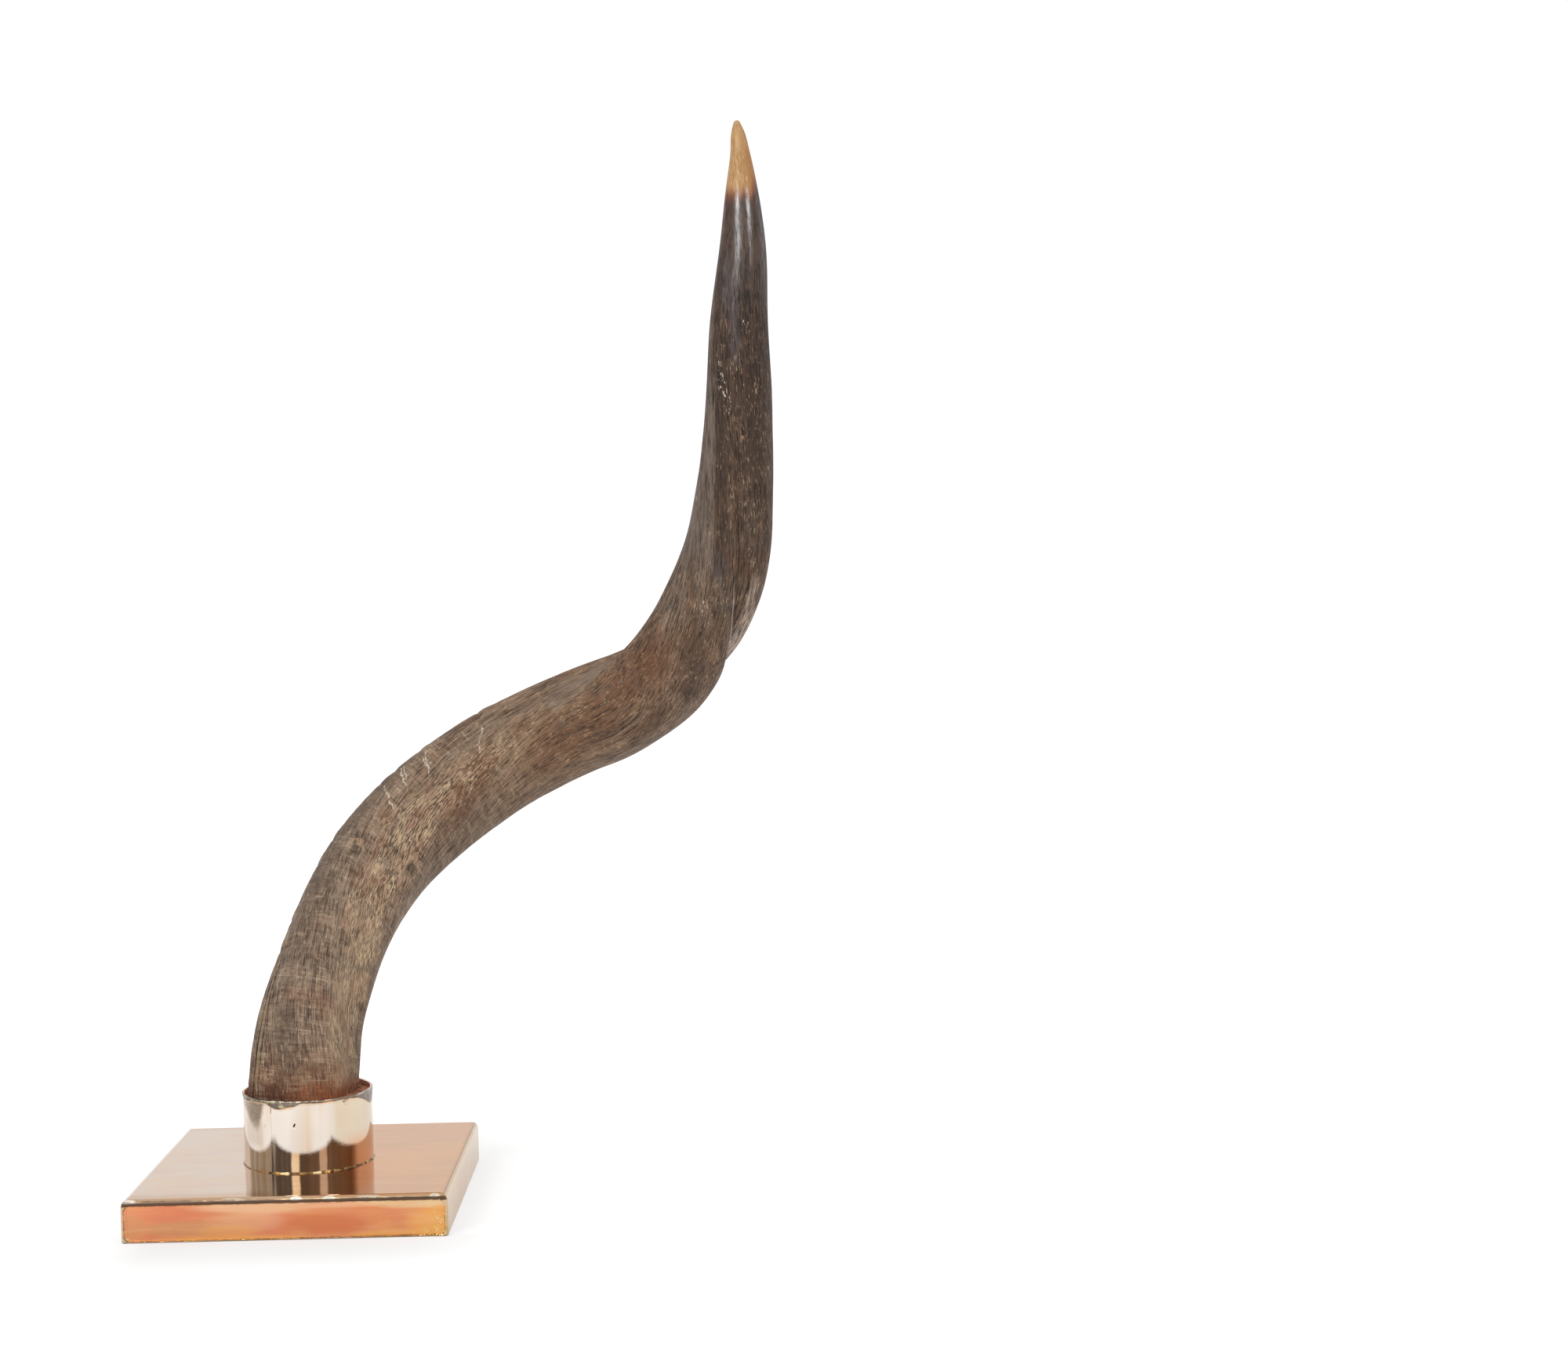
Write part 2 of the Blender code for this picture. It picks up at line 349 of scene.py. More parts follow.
hornSetup = {
    "sharpFrom": 75,            # degrees between two faces, from which the edge is drawn sharp
    # x, y, z of the middle, half width towards the keels and across them, all in millimetres,
    # then the keel's bearing in degrees and how strongly it shows
    "stations": (
        (-2.4, 0.5, 24.3, 31.0, 31.0, 214, 0.20),
        (-2.4, 0.5, 45.0, 31.0, 31.0, 212, 0.30),
        (-1.9, 1.0, 68.0, 31.0, 31.0, 208, 0.45),
        (1.2, 10.0, 101.0, 28.5, 29.5, 190, 0.50),
        (9.0, 25.0, 130.0, 27.5, 29.5, 172, 0.50),
        (22.7, 49.0, 165.5, 29.0, 31.0, 150, 0.50),
        (43.4, 73.0, 196.0, 30.5, 32.0, 126, 0.60),
        (73.5, 93.0, 222.5, 31.0, 32.5, 102, 0.80),
        (111.5, 104.0, 247.0, 31.0, 32.5, 79, 1.00),
        (155.0, 101.0, 267.0, 32.5, 33.0, 57, 1.00),
        (198.5, 83.0, 285.5, 32.5, 32.5, 43, 1.00),
        (227.5, 57.0, 322.5, 25.5, 26.0, 21, 1.00),
        (246.0, 33.0, 361.0, 23.5, 24.0, -5, 0.90),
        (254.0, 8.0, 407.0, 21.5, 22.0, -26, 0.65),
        (257.0, -8.0, 453.0, 18.5, 19.5, -46, 0.40),
        (258.0, -18.0, 499.0, 16.0, 16.5, -60, 0.30),
        (261.0, -21.0, 542.0, 12.5, 13.0, -72, 0.20),
        (261.0, -22.0, 572.0, 8.7, 9.2, -80, 0.10),
        (260.5, -21.0, 593.0, 5.2, 5.6, -86, 0.00),
        (259.3, -19.5, 606.5, 3.2, 3.3, -90, 0.00),
        (259.0, -19.0, 610.0, 2.0, 2.0, -90, 0.00),
    ),
    "windingLean": 21,          # degrees
    "keelRise": 0.13, "keelSpread": 0.36, "hollowDepth": 0.22, "hollowSpread": 0.38, "backHollow": 134,
    "frontHollow": -46,
    # round the second bend the front keel and hollow run ahead: by how much, at what length, fading how fast
    "keelTurn": (29.5, 348, 50), "hollowTurn": (38.5, 402.5, 50), "hollowNarrowing": (0.13, 455, 60),
    # length and reach in millimetres, bearing in degrees, reach in radians, height as a part of half width
    "swellings": ((389, 28, -60, 0.60, -0.155), (446, 24, -38, 0.45, 0.097), (334, 24, -100, 0.50, -0.05)),
    # how many points a ring has, then up to which length the rings lie how many millimetres apart
    "around": 256, "ringSteps": ((300, 1.4), (420, 2.3), (738, 3.6), (752.5, 1.2)),
    # how far past the last ring, in millimetres, and how wide, as a part of it, the tip's own rings are
    "tipDome": ((0, 1.0), (0.65, 0.90), (1.2, 0.70), (1.6, 0.40), (1.75, 0.1)), "rippleDepth": 0.20,
    # crisp ridges: the bearing at some lengths, height in millimetres, reach in radians,
    # then the depth and the bearing, counted from the ridge, of the hollow beside it
    "ridges": ((((318, 198), (340, 191), (353, 186), (366, 180), (378, 174), (391, 168), (400, 167),
                 (410, 170), (420, 175), (440, 182)), 1.3, 0.09, 0.8, -0.42),
               (((486, -93), (528, -91), (545, -90), (563, -87), (580, -84), (612, -79)), 0.5, 0.09, 0.6,
                0.20)),
    # narrow furrows that fan out from the crease on the right: bearing at some lengths, then depth
    "furrows": ((((440, -22), (456, -31), (465, -35), (476, -40), (486, -46), (497, -49), (517, -52),
                  (536, -54), (570, -56)), 0.70),
                (((444, -14), (462, -24), (486, -35), (517, -42), (545, -45)), 0.35),
                (((448, -4), (470, -16), (500, -29), (535, -35)), 0.28),
                (((446, -30), (462, -42), (482, -52), (500, -56)), 0.30)),
    # the thin pale ridge to the left of those furrows
    "paleLine": ((436, -10), (442.5, -16.5), (456, -32), (472.5, -47), (492, -57), (511, -57)),
    # length in millimetres, bearing in degrees and depth of the growth steps that notch the outline
    "notches": ((114, 30, 0.8), (133, 26, 0.7), (165, 48, 0.8), (182, 57, 0.7), (221.5, 86, 0.6),
                (233, 89, 0.7), (250, 102, 0.7), (288.5, 106, 0.8)),
    # bearing of the first bend's outer side, then of the flaky band, at some lengths
    "outerSide": ((0, 62), (100, 66), (200, 84), (300, 112), (400, 130)),
    "flakyLine": ((40, 128), (67, 130), (112, 142), (145, 137), (185, 146), (235, 156), (290, 166)),
    # length, bearing, half length, half width and depth of the pits, in millimetres and degrees
    "pits": ((174, 101, 5.2, 4.0, 1.4), (185, 173, 4.6, 3.8, 1.5), (162, 148, 6.0, 2.6, 1.0),
             (252.6, -168, 1.1, 1.0, 0.9), (92.5, 161, 4.6, 3.2, 0.9), (536, -143, 2.2, 2.2, 0.7),
             (395, -77, 2.6, 2.0, 0.6), (128, 133, 5.0, 2.2, 0.7)),
    # length, bearing, length, width and curl of the lifted flakes, in millimetres and degrees
    "flakes": ((178.5, 105, 5.2, 6.2, 2.2), (189.5, 177, 4.6, 5.6, 1.7), (166, 151, 3.6, 3.6, 1.2)),
    # lengths and bearings of the two lines of lifted skin at the left
    "flaps": (((38, 7), (74, 16), (105, 21), (132, 26)), ((38, 14), (74, 23), (104, 28))),
    # darker and lighter strand colour by length in millimetres
    "darkStrands": ((40, (70, 44, 31)), (66, (63, 46, 36)), (200, (61, 46, 36)), (330, (56, 38, 28)),
                    (430, (45, 31, 23)), (500, (38, 27, 20)), (600, (28, 20, 15)), (700, (32, 22, 18))),
    "lightStrands": ((40, (166, 132, 102)), (66, (162, 140, 120)), (200, (162, 139, 118)),
                     (330, (151, 123, 96)), (430, (131, 105, 84)), (500, (109, 87, 70)),
                     (600, (86, 67, 55)), (700, (66, 48, 40))),
    "fleck": (200, 174, 140), "pinkFleck": (178, 146, 122), "darkGap": (56, 41, 32),
    # the groove colour stands for dirt and painted shade in the grooves, pits and notches
    "rustFlake": (146, 100, 64), "grooveShadeAndDirt": (58, 43, 33), "warm": (112, 76, 52), "cold": (120, 109, 100),
    "ringPale": (194, 176, 154), "ringDark": (82, 63, 50), "stain": (142, 76, 40), "darkStain": (72, 36, 24),
    # of these patch colours the blue-grey one is a painted sheen and the dark one a painted shade; the flank
    # colour is a painted light
    "brownPatch": (100, 64, 42), "greyPatch": (138, 122, 108), "paintedSheen": (84, 79, 82),
    "paintedShade": (50, 38, 30), "valley": (124, 108, 94), "paintedLightFlank": (122, 108, 97), "redPatch": (124, 74, 52),
    "paleCrack": (212, 200, 182), "paleRidge": (186, 168, 154), "flake": (170, 140, 112),
    "whiteFleck": (206, 196, 180), "olive": (146, 126, 96), "tipHoney": (140, 102, 58),
    "tipIvory": (164, 132, 92), "tipChestnut": (112, 62, 36), "tipOrange": (150, 98, 54), "tipStart": 713,
    # length, bearing, half length and half width of the patches, in millimetres and degrees
    "brownSpots": ((400, -158, 62, 20), (338, -148, 56, 22), (435, -146, 30, 13), (268, 176, 26, 12),
                   (240, -175, 40, 14)),
    "greySpots": ((300, 128, 50, 15), (365, -95, 45, 8), (470, -150, 45, 14), (640, -100, 60, 5),
                  (505, -110, 30, 9)),
    # the blue-grey patches near the tip are a painted sheen
    "sheenSpots": ((655, -38, 22, 5), (632, -38, 18, 5), (505, -80, 16, 5), (662, -60, 26, 4)),
    # the dark patches are painted shade
    "shadeSpots": ((440, -96, 34, 13), (560, -20, 70, 8), (395, -110, 26, 9), (62, 52, 60, 12),
                  (165, 66, 75, 20), (228, 82, 44, 15), (590, -12, 60, 7), (424, -85, 24, 9),
                  (46, 142, 30, 9)),
    "redSpots": ((86, 84, 8, 26), (50, 108, 9, 24), (47, 20, 12, 12), (698, -82, 26, 3)),
    "whiteSpots": ((612, -70, 14, 5.0), (600, -60, 9, 4.0), (640, -13, 6, 3.6), (425, -60, 4, 3),
                   (478, -100, 6, 4)),
    "paleSpots": ((460, -17, 24, 11), (446, -6, 14, 9), (482, -22, 24, 5)),
    # the valley above the ridge: bearings between which it lies at some lengths
    "valleyLow": ((318, 120), (345, 112), (372, 108), (400, 128)),
    "valleyHigh": ((318, 186), (345, 184), (366, 176), (391, 163), (400, 163)),
    # the edge of the flank painted lighter at the upper left, a painted light, and how far the band of
    # painted shade and the flecked band lie beyond it
    "flankEdge": ((480, -93), (528, -91), (545, -90), (563, -87), (580, -84), (620, -78)),
    # length and bearing at one end, then at the other, of the pale ring cracks
    "cracks": ((233.5, 90, 225.5, 119), (235.8, 92, 229.0, 114), (251.5, 101, 241.0, 133),
               (288.0, 122, 280.0, 146), (284.0, 138, 274.0, 168), (218.5, 90, 213.5, 108),
               (214.5, 104, 208.5, 124), (247.5, 108, 244.5, 118)),
}

hornMiddles = [Vector(row[:3]) for row in hornSetup["stations"]]
hornPlaces = [0.0]
for one, nextOne in zip(hornMiddles, hornMiddles[1:]):
    hornPlaces.append(hornPlaces[-1] + (nextOne - one).length)
hornColumns = list(zip(*hornSetup["stations"]))
hornLength = hornPlaces[-1]


def curveThrough(places, values, at):
    # value at one place on a smooth curve through the stations
    last = len(places) - 2
    k = 0
    while k < last and places[k + 1] < at:
        k += 1

    def slope(i):
        if i == 0:
            return (values[1] - values[0]) / (places[1] - places[0])
        if i == len(places) - 1:
            return (values[i] - values[i - 1]) / (places[i] - places[i - 1])
        before = places[i] - places[i - 1]
        after = places[i + 1] - places[i]
        left = (values[i] - values[i - 1]) / before
        right = (values[i + 1] - values[i]) / after
        return (left * after + right * before) / (before + after)

    span = places[k + 1] - places[k]
    u = (at - places[k]) / span
    start = values[k] * (2 * u ** 3 - 3 * u ** 2 + 1) + slope(k) * span * (u ** 3 - 2 * u ** 2 + u)
    end = values[k + 1] * (3 * u ** 2 - 2 * u ** 3) + slope(k + 1) * span * (u ** 3 - u ** 2)
    return start + end


def stationValue(column, at):
    return curveThrough(hornPlaces, hornColumns[column], at)


def hornMiddle(at):
    return Vector([stationValue(k, at) for k in range(3)])


def turnFrom(turn, bearing):
    # smallest turn in radians from a bearing in degrees
    return (turn - math.radians(bearing) + math.pi) % (2 * math.pi) - math.pi


def ringPoint(turn, reach, height):
    return Vector((math.cos(turn) * reach, math.sin(turn) * reach, height))


def hump(away, spread):
    return math.exp(-(away / spread) ** 2)


def softStep(value, low, high):
    u = min(max((value - low) / (high - low), 0.0), 1.0)
    return u * u * (3 - 2 * u)


def held(at, start, end, rising, falling):
    # 1 along a stretch, with soft steps to 0 at its ends
    return softStep(at, start, start + rising) * (1 - softStep(at, end - falling, end))


def lineAt(points, at):
    # bearing in degrees, by straight lines between the points
    for (before, one), (after, other) in zip(points, points[1:]):
        if at <= after:
            return one + (other - one) * (at - before) / (after - before)
    return points[-1][1]


def hornCut(at):
    # everything that one cross-section needs
    setup = hornSetup
    along = (hornMiddle(min(at + 0.5, hornLength)) - hornMiddle(max(at - 0.5, 0.0))).normalized()
    bearing = math.radians(stationValue(5, at))
    lean = math.radians(setup["windingLean"])
    keel = Vector((math.cos(lean), 0, -math.sin(lean))) * math.cos(bearing)
    keel += Vector((0, math.sin(bearing), 0))
    keel = (keel - along * keel.dot(along)).normalized()
    cut = {
        "middle": hornMiddle(at), "along": along, "keel": keel, "cross": along.cross(keel),
        "toward": stationValue(3, at), "across": stationValue(4, at), "strength": stationValue(6, at),
        "flaky": lineAt(setup["flakyLine"], at),
    }
    for name in ("keelTurn", "hollowTurn", "hollowNarrowing"):
        most, place, fade = setup[name]
        cut[name] = most * hump(at - place, fade)
    return cut


def hornSize(angle, at, cut):
    # how far the skin stands out, as a part of the half width
    setup = hornSetup
    keels = sum(hump(turnFrom(angle, keel), setup["keelSpread"]) for keel in (cut["keelTurn"], 180))
    front = turnFrom(angle, setup["frontHollow"] + cut["hollowTurn"])
    sink = setup["hollowDepth"] * (hump(turnFrom(angle, setup["backHollow"]), setup["hollowSpread"])
                                   + hump(front, setup["hollowSpread"] - cut["hollowNarrowing"]))
    swelling = sum(depth * hump(at - place, reach) * hump(turnFrom(angle, bearing), wide)
                   for place, reach, bearing, wide, depth in setup["swellings"])
    return 1 + (setup["keelRise"] * keels - sink) * cut["strength"] + swelling


def skinFrom(cut, size, angle):
    # from the winding line out to the smooth skin
    toward = cut["keel"] * (cut["toward"] * math.cos(angle))
    return (toward + cut["cross"] * (cut["across"] * math.sin(angle))) * size


def hornRelief(angle, at, radius, cut):
    # lift of the skin in millimetres, then how deep in a groove it lies, how flaky and how pale-edged it is
    setup = hornSetup
    rod = ringPoint(angle, radius, at)
    side = ringPoint(angle, 1, 0)
    lift = 0.32 * noise.noise(rod / 27) * softStep(700, at, at + 160)
    fibres = noise.noise(Vector((rod.x / 2.6, rod.y / 2.6, at / 42)))
    fibres += 0.6 * noise.noise(Vector((rod.x / 1.3 + 7, rod.y / 1.3, at / 24)))
    lift += 0.10 * fibres * (1 - softStep(at, 560, 690))
    groove = 0.0
    pale = 0.0

    # growth rings: broken, wavy ripples, strongest on the outer side of the first bend
    outer = curveThrough(*zip(*setup["outerSide"]), min(at, setup["outerSide"][-1][0]))
    ringed = 0.35 + 0.65 * hump(turnFrom(angle, outer), 1.15)
    ringed *= (1 - 0.6 * hump(turnFrom(angle, cut["flaky"]) - 0.5, 0.7)) * held(at, 36, 355, 24, 70)
    wander = 6.0 * noise.noise(side * 0.9 + Vector((0, 0, at / 60)))
    wander += 2.0 * noise.noise(side * 3.0 + Vector((0, 0, at / 18)))
    ripples = noise.noise(side * 1.5 + Vector((0, 0, (at + wander) / 3.2)))
    ripples += 0.55 * noise.noise(side * 2.6 + Vector((4, 0, (at + wander) / 2.1)))
    lift += setup["rippleDepth"] * ripples * ringed
    groove += 0.35 * softStep(-ripples, 0.12, 0.5) * ringed
    for place, bearing, depth in setup["notches"]:
        away = at + wander * 0.35 - place
        if -14 < away < 14:
            near = hump(turnFrom(angle, bearing), 0.8)
            lift += depth * near * (0.42 * hump(away - 4.5, 4.0) - 0.75 * hump(away, 1.3))
            groove += 0.35 * near * hump(away, 1.0)

    # crisp ridges where two faces meet, and the furrows beside the crease
    for line, height, reach, depth, beside in setup["ridges"]:
        full = held(at, line[0][0], line[-1][0], 26, 26)
        if full > 0:
            away = turnFrom(angle, lineAt(line, at))
            hollow = depth * hump(away - beside, abs(beside) * 0.6)
            lift += full * (height * math.exp(-abs(away) / reach) - hollow)
    for line, depth in setup["furrows"]:
        full = held(at, line[0][0], line[-1][0], 8, 50)
        wide = turnFrom(angle, lineAt(line, at)) * radius
        if full > 0 and abs(wide) < 4:
            lift += full * depth * (0.35 * hump(wide + 1.1, 0.7) - hump(wide, 0.6))
            groove += full * 1.3 * depth * hump(wide, 0.6)
            pale += full * 1.1 * depth * hump(wide + 1.1, 0.6) * (1 - softStep(at, 450, 468))
    wide = turnFrom(angle, lineAt(setup["paleLine"], at)) * radius
    pale += held(at, 434, 511, 8, 33) * 1.1 * hump(wide, 0.8)

    # the flaky band and the worn foot
    ragged = 0.5 * noise.noise(Vector((rod.x / 12, rod.y / 12, at / 22))) + 0.3 * noise.noise(rod / 6)
    flaky = softStep(hump(turnFrom(angle, cut["flaky"]), 0.52) + ragged * 0.7, 0.25, 0.75)
    flaky *= 1 - softStep(at, 230, 330)
    shreds = noise.noise(Vector((rod.x / 1.7, rod.y / 1.7, at / 9 + 90)))
    shreds += 0.6 * noise.noise(Vector((rod.x / 1.2, rod.y / 1.2, at / 3.5)))
    lift += 0.30 * flaky * shreds
    worn = 1 - softStep(at, 40, 62)
    splits = noise.noise(Vector((side.x * 22, side.y * 22, at / 26 + 5)))
    lift += worn * (0.22 * splits - 0.2 + 0.45 * noise.noise(rod / 4.5))

    for place, bearing, halfLong, halfWide, depth in setup["pits"]:
        if abs(at - place) < halfLong * 3:
            wide = turnFrom(angle, bearing) * radius / halfWide
            uneven = 0.8 * noise.noise(rod / 3.2) + 0.5 * noise.noise(rod / 1.4)
            out = ((at - place) / halfLong) ** 2 + wide ** 2
            deep = math.exp(-max(out + uneven, 0.0) ** 1.4)
            lift -= depth * deep
            groove += 0.6 * deep
            pale += 0.8 * hump(out - 1.9, 0.6) * softStep(at - place, -1, 3)
    for line, width in zip(setup["flaps"], (1.0, 0.5)):
        wide = turnFrom(angle, lineAt(line, at)) * radius
        if abs(wide) < 6:
            full = 1 - softStep(at, line[-1][0] - 18, line[-1][0])
            flap = softStep(wide, -0.4, 0.5) * (1 - softStep(wide, 1.0, 5.0))
            lift += full * (0.50 * flap - 0.45 * hump(wide + 0.4, 0.6))
            groove += full * 1.1 * hump(wide + 0.3, 1.0) * width
            pale += full * 0.8 * width * hump(wide - 1.5, 1.0)
            if width == 1.0:
                pale += full * 0.35 * softStep(-wide, 1.0, 1.8)
    return lift, min(groove, 1.0), flaky, min(pale, 1.0)


def addFlake(shape, layers, at, bearing, long, wide, curl):
    # a thin lifted chip, rooted in the skin and curling outwards towards the tip's end
    known = set(shape.verts)
    made = bmesh.ops.create_grid(shape, x_segments=6, y_segments=5, size=0.5)["verts"]
    faces = list({face for vert in made for face in vert.link_faces})
    bmesh.ops.solidify(shape, geom=faces, thickness=0.10)
    cut = hornCut(at)
    for vert in [one for one in shape.verts if one not in known]:
        u, v, thick = vert.co.x + 0.5, vert.co.y, vert.co.z
        ragged = 0.16 * noise.noise(Vector((u * 3, v * 4, at)))
        narrow = (1 - 0.45 * u ** 2) * wide
        angle = math.radians(bearing) + (v * narrow + ragged * u) / cut["toward"]
        skin = skinFrom(cut, hornSize(angle, at, cut), angle)
        height = -0.35 + curl * (u + ragged * u) ** 2 + 0.5 * (1 - u) * (0.25 - v * v) + thick * 3
        place = cut["middle"] + skin + skin.normalized() * height
        place += cut["along"] * (u - 0.2) * long * (1 - 0.25 * u)
        vert[layers[0]] = ringPoint(angle, cut["toward"], at + u * long) * mm
        vert[layers[1]] = Vector((0.35 * (1 - u), 0.9, 0.45))
        vert.co = place * mm


def hornShape():
    shape = bmesh.new()
    fibre, wear, tint = [shape.verts.layers.float_vector.new(name) for name in ("fibre", "wear", "tint")]
    bmesh.ops.create_circle(shape, radius=1, segments=hornSetup["around"])
    heights = [0.0]
    for top, spacing in hornSetup["ringSteps"]:
        count = round((top - heights[-1]) / spacing)
        start = heights[-1]
        heights += [start + (top - start) * (k + 1) / count for k in range(count)]

    def grow(ring, height, reach):
        verts, ring = nextRing(shape, ring)
        for vert in verts:
            vert.co = outwards(vert.co) * reach + Vector((0, 0, height))
        return verts, ring

    footRing = ring = list(shape.edges)
    tip = [(hornLength + above, reach) for above, reach in hornSetup["tipDome"]]
    for height, reach in [(height, 1.0) for height in heights[1:]] + tip:
        verts, ring = grow(ring, height, reach)
    bmesh.ops.pointmerge(shape, verts=verts, merge_co=(0, 0, tip[-1][0]))
    verts, ring = grow(footRing, 0.0, 0.5)
    bmesh.ops.pointmerge(shape, verts=verts, merge_co=(0, 0, 0))

    cuts = {}
    for vert in shape.verts:
        reach = math.hypot(vert.co.x, vert.co.y)
        at = min(vert.co.z, hornLength)
        key = round(at, 4)
        if key not in cuts:
            cuts[key] = hornCut(at)
        cut = cuts[key]
        angle = math.atan2(vert.co.y, vert.co.x)
        size = hornSize(angle, at, cut) * reach
        radius = (cut["toward"] + cut["across"]) / 2
        lift, groove, flaky, pale = hornRelief(angle, at, radius, cut)
        lift *= reach * softStep(radius, 0.5, 9)
        skin = skinFrom(cut, size, angle)
        place = cut["middle"] + skin + skin.normalized() * lift + cut["along"] * (vert.co.z - at)
        vert[fibre] = ringPoint(angle, radius * reach, vert.co.z) * mm
        vert[wear] = Vector((groove, flaky, pale))
        vert[tint] = hornTint(angle, at)
        vert.co = place * mm
    for flake in hornSetup["flakes"]:
        addFlake(shape, (fibre, wear), *flake)
    bmesh.ops.recalc_face_normals(shape, faces=shape.faces[:])
    return shape


def onRod(at, bearing):
    # a place on the straightened horn, in millimetres, from its length and its bearing in degrees
    return ringPoint(math.radians(bearing), (stationValue(3, at) + stationValue(4, at)) / 2, at)


def hornTint(angle, at):
    # how far the skin belongs to the smooth valley, to the flank painted lighter as a painted light and to
    # the band of painted shade beside it
    look = hornSetup
    low = turnFrom(angle, lineAt(look["valleyLow"], at))
    high = -turnFrom(angle, lineAt(look["valleyHigh"], at))
    valley = softStep(low, 0.0, 0.30) * softStep(high, -0.03, 0.05) * held(at, 318, 402, 32, 14)
    beyond = turnFrom(angle, lineAt(look["flankEdge"], at))
    tall = held(at, 486, 628, 34, 32)
    paintedLightFlank = tall * (1 - softStep(beyond, -0.05, 0.02)) if beyond < 0.1 else 0.0
    dark = tall * softStep(beyond, -0.02, 0.05) * (1 - softStep(beyond, 0.22, 0.46))
    return Vector((valley, paintedLightFlank, dark))


def hornFinish():
    look = hornSetup
    finish = Finish("horn keratin", look,
                    {"IOR": 1.54, "Specular IOR Level": 0.2, "Coat Roughness": 0.25, "Coat IOR": 1.6})
    paint = finish.paint
    rod = finish.carried("fibre")
    groove, flaky, pale = split(finish.carried("wear"))
    valley, paintedLightFlank, paintedShadeBand = split(finish.carried("tint"))
    acrossX, acrossY, along = split(rod)
    turn = along.sum("ARCTAN2", acrossY, acrossX)
    part = along / (hornLength * mm)

    hairs = grain(stretched(rod, (1, 1, 0.035)), 1250, 3, 0.7, 0.2)
    dashes = grain(stretched(rod, (1, 1, 0.11)), 1000, 3, 0.65, 0.3)
    tufts = grain(stretched(rod, (1, 1, 0.16)), 520, 4, 0.65, 0.4)
    broad = grain(stretched(rod, (1, 1, 0.40)), 55, 4, 0.6)
    cloudy = grain(rod, 110, 4, 0.65)
    hues = grain(stretched(rod, (1, 1, 0.35)), 150, 5, 0.65, 0.3)
    shreds = grain(stretched(rod, (1, 1, 0.28)), 900, 3, 0.65, 0.5)
    flecking = grain(stretched(rod, (1, 1, 0.13)), 1900, 2, 0.5, 0.2)
    ringing = grain(stretched(rod, (0.13, 0.13, 1)), 480, 5, 0.7, 0.5)
    ringLines = grain(stretched(rod, (0.10, 0.10, 1)), 640, 3, 0.6, 0.9)

    def strandRamp(name):
        stops = [(at / hornLength, tone(colour)) for at, colour in look[name]]
        return finish.node("ValToRGB", {"stops": stops}, {"Fac": part}).other("Color")

    calm = 1 - valley * 0.45
    lowPart = (1 - between(along, 0.24, 0.35)) * (1 - flaky * 0.7)
    short = flaky * (0.25 + between(along, 0.12, 0.18) * 0.75)
    mixing = (hairs * (3.6 - short * 1.2 - lowPart * 0.8) + dashes * (2.2 - short)) * calm
    mixing = mixing + shreds * (short * 3.0 + lowPart * 1.0) + tufts * 0.8
    mixing = mixing + broad * 0.9 + cloudy * 0.9 + ringing * lowPart * 1.5
    mixing = between(mixing, -0.78, 0.78)
    finish.colour = blend(mixing, strandRamp("darkStrands"), strandRamp("lightStrands"))
    fading = 1 - between(along, 0.48, 0.60)
    paint(between(hues, -0.02, 0.22) * 0.34 * fading, "warm")
    paint((1 - between(hues, -0.22, 0.00)) * 0.30 * fading, "cold")
    patchy = between(cloudy + hairs * 0.5, -0.10, 0.10) * lowPart
    paint(between(ringLines, 0.06, 0.13) * patchy * 0.40, "ringPale")
    paint((1 - between(ringLines, -0.13, -0.06)) * patchy * 0.40, "ringDark")

    # broad patches of brown, grey and red, a blue-grey painted sheen and dark painted shade, with the
    # strands showing through
    strands = tufts * 1.4 + hairs * 1.6 + dashes * 1.2

    def patch(at, bearing, halfLong, halfWide):
        return spotAt(rod, onRod(at, bearing), (halfWide, halfWide, halfLong))

    for spots, shade, most in (("brownSpots", "brownPatch", 0.80), ("greySpots", "greyPatch", 0.55),
                               ("sheenSpots", "paintedSheen", 0.80), ("shadeSpots", "paintedShade", 0.60),
                               ("redSpots", "redPatch", 0.40), ("paleSpots", "paleRidge", 0.85)):
        for spot in look[spots]:
            paint(patch(*spot) * between(broad + strands, -0.45, 0.45) * most, shade)
    rusty = flaky * between(hues + tufts * 0.6 + dashes * 0.5, -0.02, 0.16)
    paint(rusty * 0.28, "rustFlake")
    paint(valley * between(broad + strands, -0.50, 0.50) * 0.85, "valley")
    # the flank is painted lighter, a painted light, and the band beside it painted darker, a painted shade
    paint(paintedLightFlank * between(broad + strands, -0.60, 0.40) * 0.75, "paintedLightFlank")
    paint(paintedShadeBand * between(broad + tufts * 1.2, -0.30, 0.20) * 0.72, "paintedShade")

    # tan dashes and dark gaps, thick in the flaky band and scarce towards the tip
    lower = 1 - between(along, 0.60, 0.69)
    level = between(along, 0.27, 0.36) * 0.02 - flaky * 0.11 + paintedShadeBand * 0.05 + valley * 0.01 + paintedLightFlank * 0.05
    flecks = between(flecking + cloudy * 0.34 - level, 0.095, 0.165) * lower
    gaps = between(dashes * 0.6 + hairs * 0.4 + tufts * 0.5 + flaky * 0.04, 0.07, 0.15)
    fleckShade = blend(between(hues, -0.08, 0.08), look["fleck"], look["pinkFleck"])
    paint(gaps * (0.20 + flaky * 0.30) * calm, "darkGap")
    paint(flecks * (0.48 + flaky * 0.32), fleckShade)
    paint(flaky * (1 - between(along, 0.12, 0.17)) * 0.15, "fleck")
    specks = grain(stretched(rod, (1, 1, 0.45)), 820, 2, 0.5)
    for spot in look["whiteSpots"]:
        spot = patch(*spot)
        bright = between(spot * 0.14 + flecking * 0.8 + specks * 2.4, 0.38, 0.56)
        paint(bright * between(spot, 0.02, 0.2) * 0.55, "whiteFleck")
